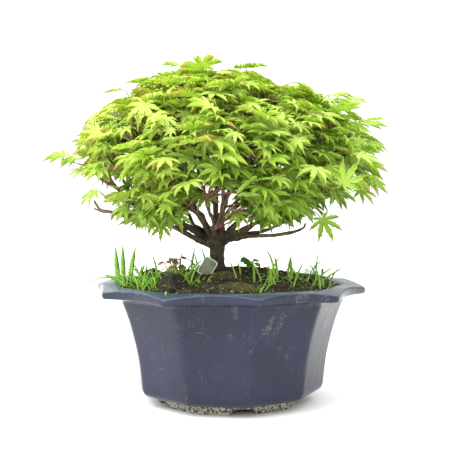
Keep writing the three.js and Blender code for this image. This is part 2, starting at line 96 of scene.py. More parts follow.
CAMERA_PLACE = np.array([-3.3, -1000.0, 231.1])
CAMERA_LENS = 71.84
CAMERA_DIP = 2.25
LAMP_PLACE = (-1.0, -0.75, 1.75)  # this and the next two are in metres
LAMP_AIM = (0, 0, 0.25)
LAMP_WIDE = 1.8
LAMP_WATTS = 46
FLOOR_HALF = 6.0  # metres

UP = np.array([0.0, 0.0, 1.0])


# ---- numbers


def vertex_values(mesh, key):
    """Three numbers for each vertex of a mesh: its place in metres, or its normal."""
    flat = np.empty(3 * len(mesh.vertices))
    mesh.vertices.foreach_get(key, flat)
    return flat.reshape(-1, 3)


def points_of(piece):
    """The points of a piece or a CAD node, in millimetres from the pot's axis."""
    return vertex_values(piece.data, "co") / MM - AXIS


def node_box(name):
    """The lowest and the highest corner of a CAD node's box, in millimetres from the pot's axis."""
    return np.array(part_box(name)) / MM - AXIS


def unit(vectors):
    """Each vector divided by its own length."""
    return vectors / np.maximum(np.linalg.norm(vectors, axis=-1, keepdims=True), 1e-9)


def heading(degrees):
    """The level direction at an angle, 0 towards the front and 90 towards +X."""
    angle = np.radians(degrees)
    return np.stack([np.sin(angle), -np.cos(angle), np.zeros_like(angle)], axis=-1)


def lattice(cells, seed):
    """A repeatable number from 0 to 1 for each whole cell: the fraction left of a large sine of its place."""
    wave = np.sin(cells @ np.array([127.1, 311.7, 74.7]) + seed * 17.3) * 43758.5453
    return wave - np.floor(wave)


def noise(points, size, seed=0):
    """Smooth values from -1 to 1 in lumps of about `size`: cell corners' numbers, blended by smoothstep."""
    scaled = np.asarray(points) / size
    cell = np.floor(scaled)
    share = scaled - cell
    share = share * share * (3 - 2 * share)
    total = np.zeros(scaled.shape[:-1])
    for corner in np.ndindex(2, 2, 2):
        weight = np.prod(np.where(np.array(corner) == 1, share, 1 - share), axis=-1)
        total = total + weight * lattice(cell + corner, seed)
    return 2 * total - 1


def smooth_path(rows, per_span):
    """A Catmull-Rom curve through the rows, with `per_span` points from each row to the next."""
    rows = np.asarray(rows, float)
    ends = np.vstack([2 * rows[0] - rows[1], rows, 2 * rows[-1] - rows[-2]])
    t = np.arange(per_span)[None, :, None] / per_span
    a, b, c, d = (ends[k : len(ends) - 3 + k, None] for k in range(4))
    curve = b + 0.5 * t * (c - a + t * (2 * a - 5 * b + 4 * c - d + t * (3 * (b - c) + d - a)))
    return np.vstack([curve.reshape(-1, rows.shape[1]), rows[-1:]])


def bows(start, over, end, stations):
    """Curves from start to end that lean towards `over`: quadratic Bezier curves, one for each row."""
    t = np.linspace(0, 1, stations)[None, :, None]
    return start * (1 - t) ** 2 + 2 * over[:, None] * t * (1 - t) + end[:, None] * t**2


def turned_to(shape, across, along, up):
    """Copies of a shape given across, along and up, each turned to its own three directions."""
    return shape @ np.stack([across, along, up], axis=1)


# ---- meshes


def ring_quads(rings, around, loop=False):
    """Quads between neighbouring rings of `around` points. `loop` joins the last ring to the first."""
    last = rings if loop else rings - 1
    row = np.arange(last)[:, None] * around
    ahead = (np.arange(last)[:, None] + 1) % rings * around
    here = np.arange(around)[None]
    after = (here + 1) % around
    return np.stack([row + here, row + after, ahead + after, ahead + here], axis=-1).reshape(-1, 4)


def pole_fans(rings, around):
    """Triangles that close the first and last ring to two poles, which come after the rings' points."""
    here = np.arange(around)
    after = (here + 1) % around
    first, last = rings * around, rings * around + 1
    far = (rings - 1) * around
    start = np.stack([np.full(around, first), after, here], axis=-1)
    end = np.stack([np.full(around, last), far + here, far + after], axis=-1)
    return np.vstack([start, end])


def copies_of(faces, count, points_each):
    """The same faces for each of `count` copies of a shape."""
    step = np.arange(count)[:, None, None] * points_each
    return (faces[None] + step).reshape(-1, faces.shape[1])


def closed(rings, first, last):
    """Points and faces of shapes given as rings (count, rings, around, 3), closed by a pole at both ends."""
    count, stations, around = rings.shape[:3]
    points = np.concatenate([rings.reshape(count, -1, 3), first[:, None], last[:, None]], axis=1)
    parts = [ring_quads(stations, around), pole_fans(stations, around)]
    return points.reshape(-1, 3), [copies_of(part, count, points.shape[1]) for part in parts]


def store(mesh, key, values):
    """Keeps a value for each point in the mesh, for its material to read."""
    mesh.attributes.new(key, "FLOAT", "POINT").data.foreach_set("value", np.ravel(values).astype(float))


def make_piece(name, points, faces, material, slot, attributes=None, replaces=(), smooth=True):
    """Puts points, faces and point attributes into a mesh that rides on the part's one body."""
    mesh = bpy.data.meshes.new(name)
    points = np.asarray(points, float).reshape(-1, 3)
    mesh.vertices.add(len(points))
    mesh.vertices.foreach_set("co", ((points + AXIS) * MM).ravel())
    corners = np.concatenate([part.ravel() for part in faces])
    sizes = np.concatenate([np.full(len(part), part.shape[1]) for part in faces])
    mesh.loops.add(len(corners))
    mesh.loops.foreach_set("vertex_index", corners.astype(np.int32))
    mesh.polygons.add(len(sizes))
    mesh.polygons.foreach_set("loop_start", (np.cumsum(sizes) - sizes).astype(np.int32))
    for key, values in (attributes or {}).items():
        store(mesh, key, values)
    mesh.update(calc_edges=True)
    mesh.polygons.foreach_set("use_smooth", np.full(len(sizes), smooth))
    mesh.materials.append(material)
    piece = bpy.data.objects.new(name, mesh)
    bpy.context.scene.collection.objects.link(piece)
    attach(piece, "root")
    if replaces:
        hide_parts(*replaces)
    return piece


def tubes(paths, radii, sides):
    """Round bars along many paths, closed at both ends. Gives points and faces.

    Each ring is its path's point plus the radius times cosine and sine of two directions square to the path.
    """
    paths = np.asarray(paths, float)
    along = unit(np.gradient(paths, axis=1))
    span = unit(paths[:, -1] - paths[:, 0])
    steady = np.where(np.abs(span[:, 2:]) > 0.8, [[1.0, 0, 0]], [[0, 0, 1.0]])
    side = unit(np.cross(along, steady[:, None]))
    other = np.cross(along, side)
    turn = 2 * np.pi * np.arange(sides) / sides
    spread = np.cos(turn)[:, None] * side[:, :, None] + np.sin(turn)[:, None] * other[:, :, None]
    rings = paths[:, :, None] + np.asarray(radii, float)[:, :, None, None] * spread
    return closed(rings, paths[:, 0], paths[:, -1])


def join(shapes):
    """Several shapes, each points and faces, as one."""
    points, faces, start = [], [], 0
    for shape_points, shape_faces in shapes:
        points.append(shape_points)
        faces += [part + start for part in shape_faces]
        start += len(shape_points)
    return np.vstack(points), faces


# ---- materials

SMOOTH = {"interpolation_type": "SMOOTHSTEP"}
COLOUR = {"data_type": "RGBA"}
TIMES = {"operation": "MULTIPLY"}
PLUS = {"operation": "ADD"}
GREATER = {"operation": "MAXIMUM"}


def linear(code):
    """An sRGB hex colour as linear light."""
    value = np.array([int(code[i : i + 2], 16) for i in (1, 3, 5)]) / 255
    light = np.where(value <= 0.04045, value / 12.92, ((value + 0.055) / 1.055) ** 2.4)
    return (*light, 1.0)


def add_node(tree, kind, *values, out=None, named=None, **settings):
    """Adds one node and gives its output called `out`, or the first output that it shows.

    Settings are its properties. Values fill the inputs that it shows, in order, and `named` fills inputs by
    name. Each is a link, a hex colour or a plain value, or None to leave the input as it is.
    """
    made = tree.nodes.new("ShaderNode" + kind)
    for key, value in settings.items():
        setattr(made, key, value)
    filled = list(zip([socket for socket in made.inputs if socket.enabled], values))
    filled += [(made.inputs[key], value) for key, value in (named or {}).items()]
    for socket, value in filled:
        if isinstance(value, bpy.types.NodeSocket):
            tree.links.new(value, socket)
        elif value is not None:
            socket.default_value = linear(value) if isinstance(value, str) else value
    shown = [socket for socket in made.outputs if socket.enabled]
    return made.outputs[out] if out else (shown or [None])[0]


def new_material(name, *attributes):
    """An empty material: itself, what adds its nodes, the place on the piece, and the piece's attributes."""
    material = bpy.data.materials.new(name)
    material.use_nodes = True
    material.node_tree.nodes.clear()
    add = functools.partial(add_node, material.node_tree)
    own = [add("Attribute", attribute_name=key, out="Fac") for key in attributes]
    return material, add, add("TexCoord", out="Object"), *own


def grain(add, place, size, detail, stretch=None, roughness=0.55):
    """Noise with lumps of about `size` millimetres, drawn out along the axes by `stretch`."""
    if stretch:
        place = add("Mapping", place, None, None, tuple(1 / share for share in stretch))
    return add("TexNoise", place, 1000 / size, detail, roughness)


def patches(add, place, size, detail, low=0.3, high=0.7, least=0.0, most=1.0, stretch=None, roughness=0.55):
    """Soft-edged patches: grain carried from low..high to least..most by smoothstep, held at both ends."""
    lumps = grain(add, place, size, detail, stretch, roughness)
    return add("MapRange", lumps, low, high, least, most, **SMOOTH)


def layers(add, colour, *coats):
    """A colour with coats over it, each a mask and a colour."""
    for mask, coat in coats:
        colour = add("Mix", mask, colour, coat, **COLOUR)
    return colour


def finish(add, colour, roughness, bump=None, through=None, more=None):
    """Ends a material with its surface.

    A bump is a height, its depth in millimetres and its strength. `through` is the share of light that passes
    through a thin piece, and that light's colour.
    """
    sockets = {"Base Color": colour, "Roughness": roughness, **(more or {})}
    if bump:
        height, depth, strength = bump
        bumps = {"Height": height, "Distance": depth * MM, "Strength": strength}
        sockets["Normal"] = add("Bump", named=bumps)
    surface = add("BsdfPrincipled", named=sockets)
    if through:
        share, tint = through
        surface = add("MixShader", share, surface, add("BsdfTranslucent", tint))
    add("OutputMaterial", surface)


def indigo_glaze():
    """Stoneware with a glossy indigo glaze: dark and even on the walls, greyer on worn edges, with a painted
    highlight on the lip's top edge at the left front, and with lime stains.

    The feet are bare clay, cream-grey with dark specks, where the glaze was wiped off before firing.
    """
    material, add, place, edge, lip, stained, unglazed = new_material(
        "indigo glaze over stoneware", "edge", "lip", "stain", "bare"
    )
    # Greyer edges: glaze worn thin at the corners and round the lip, plus a painted highlight on the lip's
    # top edge at the left front.
    wear_and_lip_highlight = add("Math", edge, patches(add, place, 6, 5, 0.42, 0.68, most=0.55), **TIMES)
    # Lime and soil stains: patches about a centimetre across, drawn out downwards, thickest under the lip.
    patch = patches(add, place, 16, 7, 0.53, 0.7, stretch=(1, 1, 1.7), roughness=0.68)
    broken = add("Math", patch, patches(add, place, 2.2, 4, 0.35, 0.65), **TIMES)
    stain = add("Math", broken, stained, **TIMES)
    # Scratches: hairlines drawn wide enough to show, in two directions.
    upright = patches(add, place, 4, 2, 0.72, 0.76, most=0.12, stretch=(1, 1, 14))
    level = patches(add, place, 5, 2, 0.735, 0.77, most=0.12, stretch=(12, 12, 1))
    glaze = layers(
        add,
        "#262937",
        (patches(add, place, 45, 5, 0.35, 0.7), "#2b2d40"),
        (wear_and_lip_highlight, "#7f8898"),
        (add("Math", lip, 0.4, **TIMES), "#475b66"),
        (patches(add, place, 1.6, 2, 0.66, 0.74, most=0.16), "#8d8f86"),
        (add("Math", stain, 0.52, **TIMES), "#8a876f"),
        (add("Math", upright, level, **GREATER), "#8a8e98"),
    )
    clay = layers(add, "#aeab9b", (patches(add, place, 2.6, 6, 0.46, 0.56), "#45443e"))
    bare = add("Math", unglazed, patches(add, place, 5, 5, 0.28, 0.42), **TIMES)
    # Rougher where it is stained, unglazed or on the lip.
    rough = patches(add, place, 45, 5, 0.3, 0.7, 0.13, 0.24)
    for mask, more in ((stain, 0.35), (bare, 0.6), (lip, 0.14)):
        rough = add("Math", rough, add("Math", mask, more, **TIMES), **PLUS)
    fine = add("Math", grain(add, place, 3, 3), 0.12, **TIMES)
    ripple = add("Math", grain(add, place, 22, 2), fine, **PLUS)
    gloss = {"IOR": 1.52, "Specular IOR Level": 0.18}
    finish(add, layers(add, glaze, (bare, clay)), rough, (ripple, 0.9, 0.6), more=gloss)
    return material


def maple_leaf():
    """A young maple leaf: thin, soft and see-through to light, bright yellow-green, bronzed at its points,
    with painted sunlight that makes the outer, upper and left-hand leaves paler and yellower.
    """
    material, add, place, painted_sunlight, tone, vein, reach, bronze = new_material(
        "young maple leaf", "painted_sunlight", "tone", "vein", "reach", "bronze"
    )
    tip = add("MapRange", reach, 0.35, 1.0, **SMOOTH)
    green = layers(
        add,
        "#76a525",
        # painted sunlight: a paler, yellower green on the outer, upper and left-hand leaves
        (painted_sunlight, "#c6e163"),
        (add("Math", tone, 0.5, **TIMES), "#dcec82"),
        (patches(add, place, 3, 3, most=0.16), "#8aab30"),
        (add("MapRange", vein, 0.8, 1.0, 0.0, 0.4, **SMOOTH), "#d3e57c"),
        (add("Math", tip, bronze, **TIMES), "#d09a60"),
    )
    crinkle = (patches(add, place, 3, 3), 0.15, 0.5)
    finish(add, green, 0.42, crinkle, (0.45, layers(add, green, (0.4, "#d6ee5c"))), {"IOR": 1.42})
    return material


def old_bark():
    """Maple bark: dark grey-brown and rough low on the trunk, with green algae, smooth red-brown above."""
    material, add, place, young = new_material("maple bark", "young")
    ridges = grain(add, place, 3.2, 6, (1, 1, 3.2), 0.7)
    red = layers(add, "#403020", (patches(add, place, 5, 5), "#7b6249"))
    colour = layers(
        add,
        "#15120c",
        (add("MapRange", ridges, 0.35, 0.65, **SMOOTH), "#4f4433"),
        (patches(add, place, 9, 5, 0.5, 0.66, most=0.5), "#6a6a3f"),
        (young, red),
    )
    finish(add, colour, 0.8, (ridges, 1.1, 0.8))
    return material


def twig_skin():
    """The thin skin of young twigs and leaf stalks: red-brown, paler and greener towards the leaf."""
    material, add, place, fresh = new_material("young twig skin", "fresh")
    mottled = (patches(add, place, 6, 3), "#80503a")
    finish(add, layers(add, "#54301f", mottled, (fresh, "#a3a24c")), 0.5)
    return material


def damp_soil():
    """Dark loam with grit: nearly black where damp, brown crumbs, olive algae in patches."""
    material, add, place, crumb = new_material("damp loam", "crumb")
    crumbs = grain(add, place, 3, 8, roughness=0.7)
    film = add("MapRange", crumbs, 0.4, 0.55, **SMOOTH)
    colour = layers(
        add,
        "#0c0905",
        (add("MapRange", crumbs, 0.38, 0.62, **SMOOTH), "#2c2516"),
        (add("Math", patches(add, place, 24, 5, 0.5, 0.62, most=0.6), film, **TIMES), "#4b4d24"),
        (add("MapRange", crumb, 0.35, 0.6, **SMOOTH), "#4a4628"),
        (add("MapRange", crumb, 0.75, 1.0, **SMOOTH), "#8a8356"),
    )
    finish(add, colour, 0.95, (crumbs, 1.6, 1.0))
    return material


def moss_pile():
    """Cushion moss: a short dense pile, olive with golden tips and brown where it is dry."""
    material, add, place = new_material("cushion moss")
    pile = grain(add, place, 1.6, 5, roughness=0.7)
    tips = add("MapRange", pile, 0.35, 0.65, **SMOOTH)
    colour = layers(add, "#252810", (tips, "#5f622c"), (patches(add, place, 9, 5, 0.42, 0.62), "#3a301b"))
    finish(add, colour, 1.0, (pile, 1.2, 1.0))
    return material


def grass_blade():
    """Soft lawn grass: thin green blades, paler at the root, that let some light through."""
    material, add, place, reach, tone = new_material("grass blade", "reach", "tone")
    colour = layers(
        add,
        "#c2d88a",
        (add("MapRange", reach, 0.0, 0.5, **SMOOTH), "#8cc83c"),
        (tone, "#c6e66a"),
        (patches(add, place, 1.2, 2, 0.4, 0.6, most=0.2, stretch=(1, 1, 20)), "#5c9a2a"),
    )
    finish(add, colour, 0.45, through=(0.5, colour))
    return material


def broad_leaf(name, dark, light):
    """A small weed's or a dry leaf: thin and soft, mottled in two tones, and a little light comes through."""
    material, add, place = new_material(name)
    colour = layers(add, dark, (patches(add, place, 2.5, 4), light))
    finish(add, colour, 0.5, through=(0.2, colour))
    return material


def label_film():
    """Clear acetate film gone slightly green and cloudy, with a frosted edge and faint smudges."""
    material, add, place, edge = new_material("clear acetate label", "edge")
    smudge = patches(add, place, 3.5, 5, 0.5, 0.62)
    colour = layers(add, "#8d9377", (add("Math", smudge, 0.6, **TIMES), "#3f4632"), (edge, "#d5dccb"))
    cloudy = add("MapRange", add("Math", edge, smudge, **GREATER), 0.0, 1.0, 0.75, 0.95, **SMOOTH)
    finish(add, colour, 0.4, more={"IOR": 1.48, "Specular IOR Level": 0.2, "Alpha": cloudy})
    return material


def black_net():
    """Black moulded polythene net: dull, a little scuffed."""
    material, add, place = new_material("black polythene net")
    finish(add, layers(add, "#17181a", (patches(add, place, 2, 3, 0.4, 0.7), "#34363a")), 0.55)
    return material


def soft_wire():
    """Soft aluminium wire: dull silver, roughened by drawing and bending."""
    material, add, place = new_material("drawn aluminium wire")
    finish(add, "#c5c6c4", patches(add, place, 1.5, 3, 0.3, 0.7, 0.3, 0.5), more={"Metallic": 1.0})
    return material


# ---- pot


def along_side(degrees):
    """How far an angle is along its side of the pot, from -1 at one corner to 1 at the next."""
    return (degrees - POT_TURN) / SIDE_TURN % 1 * 2 - 1


def ten_sided(degrees, corner_radius):
    """Axis to a ten-sided outline: its apothem over a high norm of the cosines to the near sides' normals."""
    off = np.radians(along_side(degrees) * SIDE_TURN / 2)
    turn = math.radians(SIDE_TURN)
    cosines = np.stack([np.cos(off - turn), np.cos(off), np.cos(off + turn)])
    norm = np.sum(cosines**CORNER_SOFTNESS, axis=0) ** (1 / CORNER_SOFTNESS)
    soft = 2 ** (1 / CORNER_SOFTNESS)  # keeps the corner itself at the radius asked for
    return corner_radius * soft * math.cos(turn / 2) / norm


# Corner radius, height, how far a side's middle is drawn in and lifted, and 1 for ten-sided or 0 for round:
# from the drain hole over the floor, up the inside, over the lip, down the outside, under the foot and back.
POT_PROFILE = [
    (18, 17, 0, 0, 0), (22, 17, 0, 0, 0), (60, 17, 0, 0, 0.7), (86, 17.2, 0, 0, 1), (93.5, 19.5, 0, 0, 1),
    (96.6, 25, 0, 0, 1), (100.4, 55, 0, 0, 1), (108, 85, 0, 0, 1), (113, 100, 0, 0, 1),
    (117.4, 108.5, 0, 0, 1), (121.5, 116, 0, 0, 1), (124.5, 124, 0, 0, 1), (126.4, 128.4, 0, 0, 1),
    (128.2, 129.8, 0, 0, 1), (130.6, 129.9, 0.1, 0.1, 1), (136, 129.1, 0.8, 0.8, 1),
    (142.5, 127.6, 2.4, 2.4, 1), (147.6, 126.2, 3.8, 3.9, 1), (149.3, 125.3, 4.1, 4.2, 1),
    (150, 123.8, 4.2, 4, 1), (149.9, 121.2, 4.2, 2.7, 1), (149.2, 119.6, 4.2, 1.9, 1),
    (147.2, 118.6, 4, 1.4, 1), (141, 117.9, 3, 0.8, 1), (134, 117.3, 1.4, 0.3, 1),
    (129.4, 116.6, 0.4, 0.1, 1), (126.9, 114.8, 0, 0, 1), (125.6, 111.4, 0, 0, 1), (121.2, 100, 0, 0, 1),
    (116.2, 85, 0, 0, 1), (108.8, 55, 0, 0, 1), (105.2, 28, 0, 0, 1), (104.2, 19.5, 0, 0, 1),
    (102, 14.6, 0, 0, 1), (97.5, 11.4, 0, 0, 1), (91, 9.6, 0, 0, 1), (86.2, 9, 0, 0, 1),
    (84.9, 8.2, 0, 0, 1), (83.2, 1.2, 0, 0, 1), (82.2, 0.1, 0, 0, 1), (81, 0, 0, 0, 1),
    (73.4, 0, 0, 0, 1), (72.3, 0.2, 0, 0, 1), (71.8, 1.2, 0, 0, 1), (71.5, 8.2, 0, 0, 1),
    (70.4, 9, 0, 0, 1), (50, 9, 0, 0, 0.5), (20, 9, 0, 0, 0), (18.3, 9.3, 0, 0, 0), (18, 10.2, 0, 0, 0),
    (18, 15.8, 0, 0, 0), (18, 17, 0, 0, 0),
]
POT_AROUND = 400


def make_pot(material):
    """One closed surface: the profile carried round the axis, ten-sided, with arches cut up into the foot."""
    rows = smooth_path(POT_PROFILE, 3)[:-1]
    radius, height, dip, lift, ten = (rows[:, [k]] for k in range(5))
    degrees = np.linspace(-180, 180, POT_AROUND, endpoint=False)[None]
    middle = 1 - along_side(degrees) ** 2
    out = radius * (ten * ten_sided(degrees, 1.0) + 1 - ten) - dip * middle
    around = heading(degrees + 0 * out)
    up = height + lift * middle
    from_notch = (degrees - POT_TURN + 180 / NOTCHES) % (360 / NOTCHES) - 180 / NOTCHES
    share = np.abs(np.radians(from_notch)) * FOOT_MIDDLE / NOTCH_HALF
    arch = NOTCH_HEIGHT * np.sqrt(np.clip(1 - share**3, 0, 1))
    foot = (radius > 71) & (radius < 85.2) & (height < FOOT_HEIGHT - 0.5)
    up = np.where(foot, np.maximum(up, arch), up)
    # The lip stands a little higher at one front corner, where the clay moved as it dried.
    warp = LIP_WARP * np.exp(-(((degrees - 11) / 20) ** 2)) * np.clip((radius - 120) / 20, 0, 1)
    points = around * out[..., None]
    points[..., 2] = up + warp * (height > 110)
    points = points + noise(points, 40, 3)[..., None] * 0.35 * (height > 20)[..., None] * around
    corner = np.abs(along_side(degrees)) ** 14 + 0 * out
    # The lip's outer edge is a little greyer all round, where its glaze is thin. It is far greyer at the left
    # front: a painted highlight along the lip's top edge, on the side the lamp lights.
    lip_wear_and_highlight = np.exp(-(((radius - 149) / 1.6) ** 2)) * (height > 123)
    lip_wear_and_highlight = lip_wear_and_highlight * (0.3 + 1.6 * np.exp(-(((degrees + 40) / 15) ** 2)))
    worn_side = 0.55 + 0.45 * noise(points, 30, 9)
    stain_side = 0.35 + 0.65 * np.clip(around[..., 0] * 0.8 + 0.3, 0, 1)
    attributes = {
        # Glaze worn thin at corners and round the lip, and the painted highlight on the lip's left-front edge
        "edge": np.clip(corner * 0.22 * (height > 15) + 0.4 * lip_wear_and_highlight, 0, 1) * worn_side,
        "lip": ((height > 124) & (radius < 149.8) & (radius > 127)) + 0 * out,
        "stain": np.clip((up - 30) / 80, 0.12, 1) * stain_side,
        "bare": np.clip((10.5 - up) / 2.5, 0, 1) + 0 * out,
    }
    faces = ring_quads(len(rows), POT_AROUND, loop=True)[:, ::-1]
    return make_piece("glazed_pot", points, [faces], material, "blue_glaze", attributes, ["pot"])


# ---- soil


def soil_top(x, y):
    """Height of the soil: a low crown round the trunk and lumps of three sizes, both fading to the edge."""
    place = np.stack([x, y, 0 * x], axis=-1)
    out = np.clip(np.hypot(x, y) / (MOUTH_RADIUS - 4), 0, 1)
    crown = SOIL_RISE * (1 - out**2.2)
    lumps = 2.2 * noise(place, 26, 1) + 1.1 * noise(place, 9, 2) + 0.7 * noise(place, 4, 3)
    return SOIL_EDGE + crown + lumps * (1 - out**6)


def make_soil(material):
    """A closed loaf of soil: rings up the pot's inside, then rings over the top that shrink to the axis."""
    around, across = 200, 64
    degrees = np.linspace(-180, 180, around, endpoint=False)[None]
    share = np.linspace(1, 0.012, across)[:, None]
    out = ten_sided(degrees, MOUTH_RADIUS - 4.6) * share
    top = heading(degrees + 0 * out) * out[..., None]
    top[..., 2] = soil_top(top[..., 0], top[..., 1])
    top[0, :, 2] = SOIL_EDGE - 2
    wall = []
    for radius, height in ((60, SOIL_BOTTOM), (85, 21), (97.5, 40), (105, 80), (116, 108), (121.5, 121)):
        ring = heading(degrees[0]) * ten_sided(degrees[0], radius)[:, None]
        ring[:, 2] = height
        wall.append(ring)
    rings = np.concatenate([np.array(wall), top])
    points, faces = closed(rings[None], UP[None] * SOIL_BOTTOM, UP[None] * soil_top(0.0, 0.0))
    return make_piece("soil_loaf", points, faces, material, "soil", replaces=["soil"])


def crumbs(rng, count, size_low, size_high):
    """Small eight-faced lumps scattered on the soil, each squashed, leaned and turned its own way."""
    corner = np.array([[1, 0, 0], [0, 1, 0], [-1, 0, 0], [0, -1, 0], [0, 0, 1], [0, 0, -1.0]])
    faces = [[k, (k + 1) % 4, 4] for k in range(4)] + [[(k + 1) % 4, k, 5] for k in range(4)]
    degrees = rng.uniform(-180, 180, count)
    share = np.sqrt(rng.uniform(0.004, 0.97, count))
    spot = heading(degrees) * (ten_sided(degrees, MOUTH_RADIUS - 7) * share)[:, None]
    spot[:, 2] = soil_top(spot[:, 0], spot[:, 1])
    size = rng.uniform(size_low, size_high, count)
    stretch = rng.uniform(0.6, 1.3, (count, 1, 3)) * size[:, None, None]
    x, y, z = np.moveaxis(corner * (1 + 0.25 * rng.uniform(-1, 1, (count, 6, 1))) * stretch, -1, 0)
    turn = rng.uniform(0, 2 * np.pi, count)[:, None]
    cosine, sine = np.cos(turn), np.sin(turn)
    turned = np.stack([x * cosine - y * sine, x * sine + y * cosine, z + 0.3 * x], axis=-1)
    return (spot[:, None] + turned).reshape(-1, 3), [copies_of(np.array(faces), count, len(corner))]


def make_cushion(name, node, material, slot, pile):
    """A lump over its CAD node: a half ball squashed to the node's box, roughened by fine noise."""
    low, high = node_box(node)
    middle, half = (low + high) / 2, (high - low) / 2
    around, across = 72, 26
    turn = np.linspace(0, 2 * np.pi, around, endpoint=False)[None]
    rise = np.linspace(-0.35, 0.5 * np.pi * 0.97, across)[:, None]
    wave = 1 + 0.14 * np.sin(3 * turn + low[0]) + 0.1 * np.sin(5 * turn + low[1])
    x = middle[0] + half[0] * np.cos(rise) * np.cos(turn) * wave
    y = middle[1] + half[1] * np.cos(rise) * np.sin(turn) * wave
    z = soil_top(x, y) + np.sin(rise) * (high[2] - soil_top(middle[0], middle[1]))
    points = np.stack([x, y, z], axis=-1)
    rough = noise(points, 2.4, 5) * pile + noise(points, 7, 6) * pile
    points[..., 2] += rough * np.clip(np.sin(rise) * 3, 0, 1)
    points, faces = closed(points[None], points[:1].mean(axis=1) - UP, points[-1:].mean(axis=1))
    return make_piece(name, points, faces, material, slot, replaces=[node])


# ---- leaves

# Angle from the middle lobe, length as a share of it, and whether the lobe is toothed.
LOBES = [(0, 1.0, 1), (36, 0.92, 1), (73, 0.72, 1), (116, 0.4, 0)]
# A lobe's margin at its shoulder, dent, tooth and bay: shares of the lobe's length and of its half width.
TOOTHED = [(0.54, 1), (0.57, 0.62), (0.73, 0.74), (0.75, 0.36)]
PLAIN = [(0.52, 1)]
LEAF_NOTCH = 0.29  # how far out the notches are, as a share of the shorter lobe beside them


def leaf_template():
    """A seven-lobed maple leaf of unit length, flat, its stalk at the origin and its middle lobe along +Y.

    Each lobe has a midrib and two halves, whose edge runs from the notch beside it out to a shoulder, in to a
    dent, out to a tooth, in again and on to the point. The underside shares this margin. It has points of its
    own at the stalk and in the middle of each midrib, so the leaf is closed.
    """
    lobes = [(-angle, share, toothed) for angle, share, toothed in LOBES[:0:-1]] + LOBES
    points, rib, doubled = [(0.0, 0.0)], [1.0], [0]
    quads, thirds = [], []

    def put(angle, out, off=0.0, on_rib=0.0):
        """Adds a point `out` along the lobe at `angle` and `off` to its side, and gives its number."""
        a = math.radians(angle)
        points.append((out * math.sin(a) + off * math.cos(a), out * math.cos(a) - off * math.sin(a)))
        rib.append(on_rib)
        return len(points) - 1

    pairs = zip(lobes, lobes[1:])
    between = [put((one[0] + two[0]) / 2, LEAF_NOTCH * min(one[1], two[1])) for one, two in pairs]
    notches = [put(lobes[0][0] - 38, 0.1), *between, put(lobes[-1][0] + 38, 0.1)]
    for (angle, share, toothed), *beside in zip(lobes, notches, notches[1:]):
        width = 0.116 * share + 0.012
        tip = put(angle, share, 0.0, 1.0)
        middle = put(angle, 0.52 * share, 0.0, 1.0)
        doubled.append(middle)
        for side, notch in zip((-1, 1), beside):
            shape = TOOTHED if toothed else PLAIN
            margin = [put(angle, out * share, side * width * off) for out, off in shape]
            half = [[0, notch, margin[0], middle]]
            if toothed:
                half += [[middle, *margin[:3]], [middle, *margin[2:], tip]]
            else:
                thirds.append([middle, margin[0], tip][::side])
            quads += [face[::side] for face in half]
    twin = np.arange(len(points))
    twin[doubled] = len(points) + np.arange(len(doubled))
    under = np.arange(len(points) + len(doubled)) >= len(points)
    flat = np.array(points + [points[k] for k in doubled])
    return {
        "points": flat,
        "reach": np.hypot(*flat.T),
        "rib": np.array(rib + [rib[k] for k in doubled]),
        "under": under,
        "faces": [np.vstack([part, twin[part][:, ::-1]]) for part in (np.array(quads), np.array(thirds))],
    }


LEAF = leaf_template()


def shape_leaves(base, along, facing, length, bend, fold):
    """Places one leaf for each row: its base, where its middle lobe and its upper side point, and its length.

    Each leaf arches down by `bend` times the square of the distance from its stalk, and each lobe is folded
    up along its midrib by `fold`.
    """
    along = unit(along)
    across = unit(np.cross(along, facing))
    reach = LEAF["reach"]
    height = -bend[:, None] * reach**2 + fold[:, None] * (1 - LEAF["rib"]) * np.minimum(reach, 0.5)
    height = height - LEAF["under"] * LEAF_THICK / length[:, None]
    flat = np.broadcast_to(LEAF["points"], (*height.shape, 2))
    leaf = np.concatenate([flat, height[..., None]], axis=-1) * length[:, None, None]
    return base[:, None] + turned_to(leaf, across, along, np.cross(across, along))


def margin_sharp(piece, under_faces):
    """Marks the edges between a leaf's two sides as sharp, so that each side is smooth by itself."""
    mesh = piece.data
    loops = np.empty(len(mesh.loops), np.int32)
    mesh.loops.foreach_get("edge_index", loops)
    totals = np.empty(len(mesh.polygons), np.int32)
    mesh.polygons.foreach_get("loop_total", totals)
    side = np.repeat(under_faces, totals)
    below = np.bincount(loops, side, len(mesh.edges))
    above = np.bincount(loops, ~side, len(mesh.edges))
    sharp = mesh.attributes.new("sharp_edge", "BOOLEAN", "EDGE")
    sharp.data.foreach_set("value", (below > 0) & (above > 0))


# ---- canopy

CANOPY_MIDDLE = np.array([-4.0, 0.0, 262.0])
CANOPY_REACH = np.array([169.0, 166.0])  # across and front to back
CANOPY_UP = 107.0
CANOPY_LEAN = -15.0  # how far the top stands to the left
CANOPY_DOWN = 78.0


def canopy_reach(direction):
    """How far the canopy reaches each way: a super-ellipsoid, rounder above than below, with smooth lumps."""
    up = direction[..., 2]
    tall = np.where(up > 0, CANOPY_UP, CANOPY_DOWN)
    power = np.where(up > 0, 1.95, 3.0)
    level = np.hypot(direction[..., 0] / CANOPY_REACH[0], direction[..., 1] / CANOPY_REACH[1])
    reach = (level**power + np.abs(up / tall) ** power) ** (-1 / power)
    return reach * (0.99 + 0.07 * noise(direction, 0.5, 21))


def sphere_spread(count, lowest):
    """Evenly spread directions from straight up down to height `lowest`, by the golden angle."""
    k = np.arange(count) + 0.5
    height = 1 - (1 - lowest) * k / count
    turn = k * math.pi * (3 - math.sqrt(5))
    level = np.sqrt(1 - height**2)
    return np.stack([level * np.cos(turn), level * np.sin(turn), height], axis=-1)


# Share of the leaves, share of the way out, spread of that share and lowest direction for each layer.
LAYERS = [(0.44, 0.88, 0.05, -0.75), (0.32, 0.75, 0.06, -0.85), (0.24, 0.58, 0.08, -0.85)]

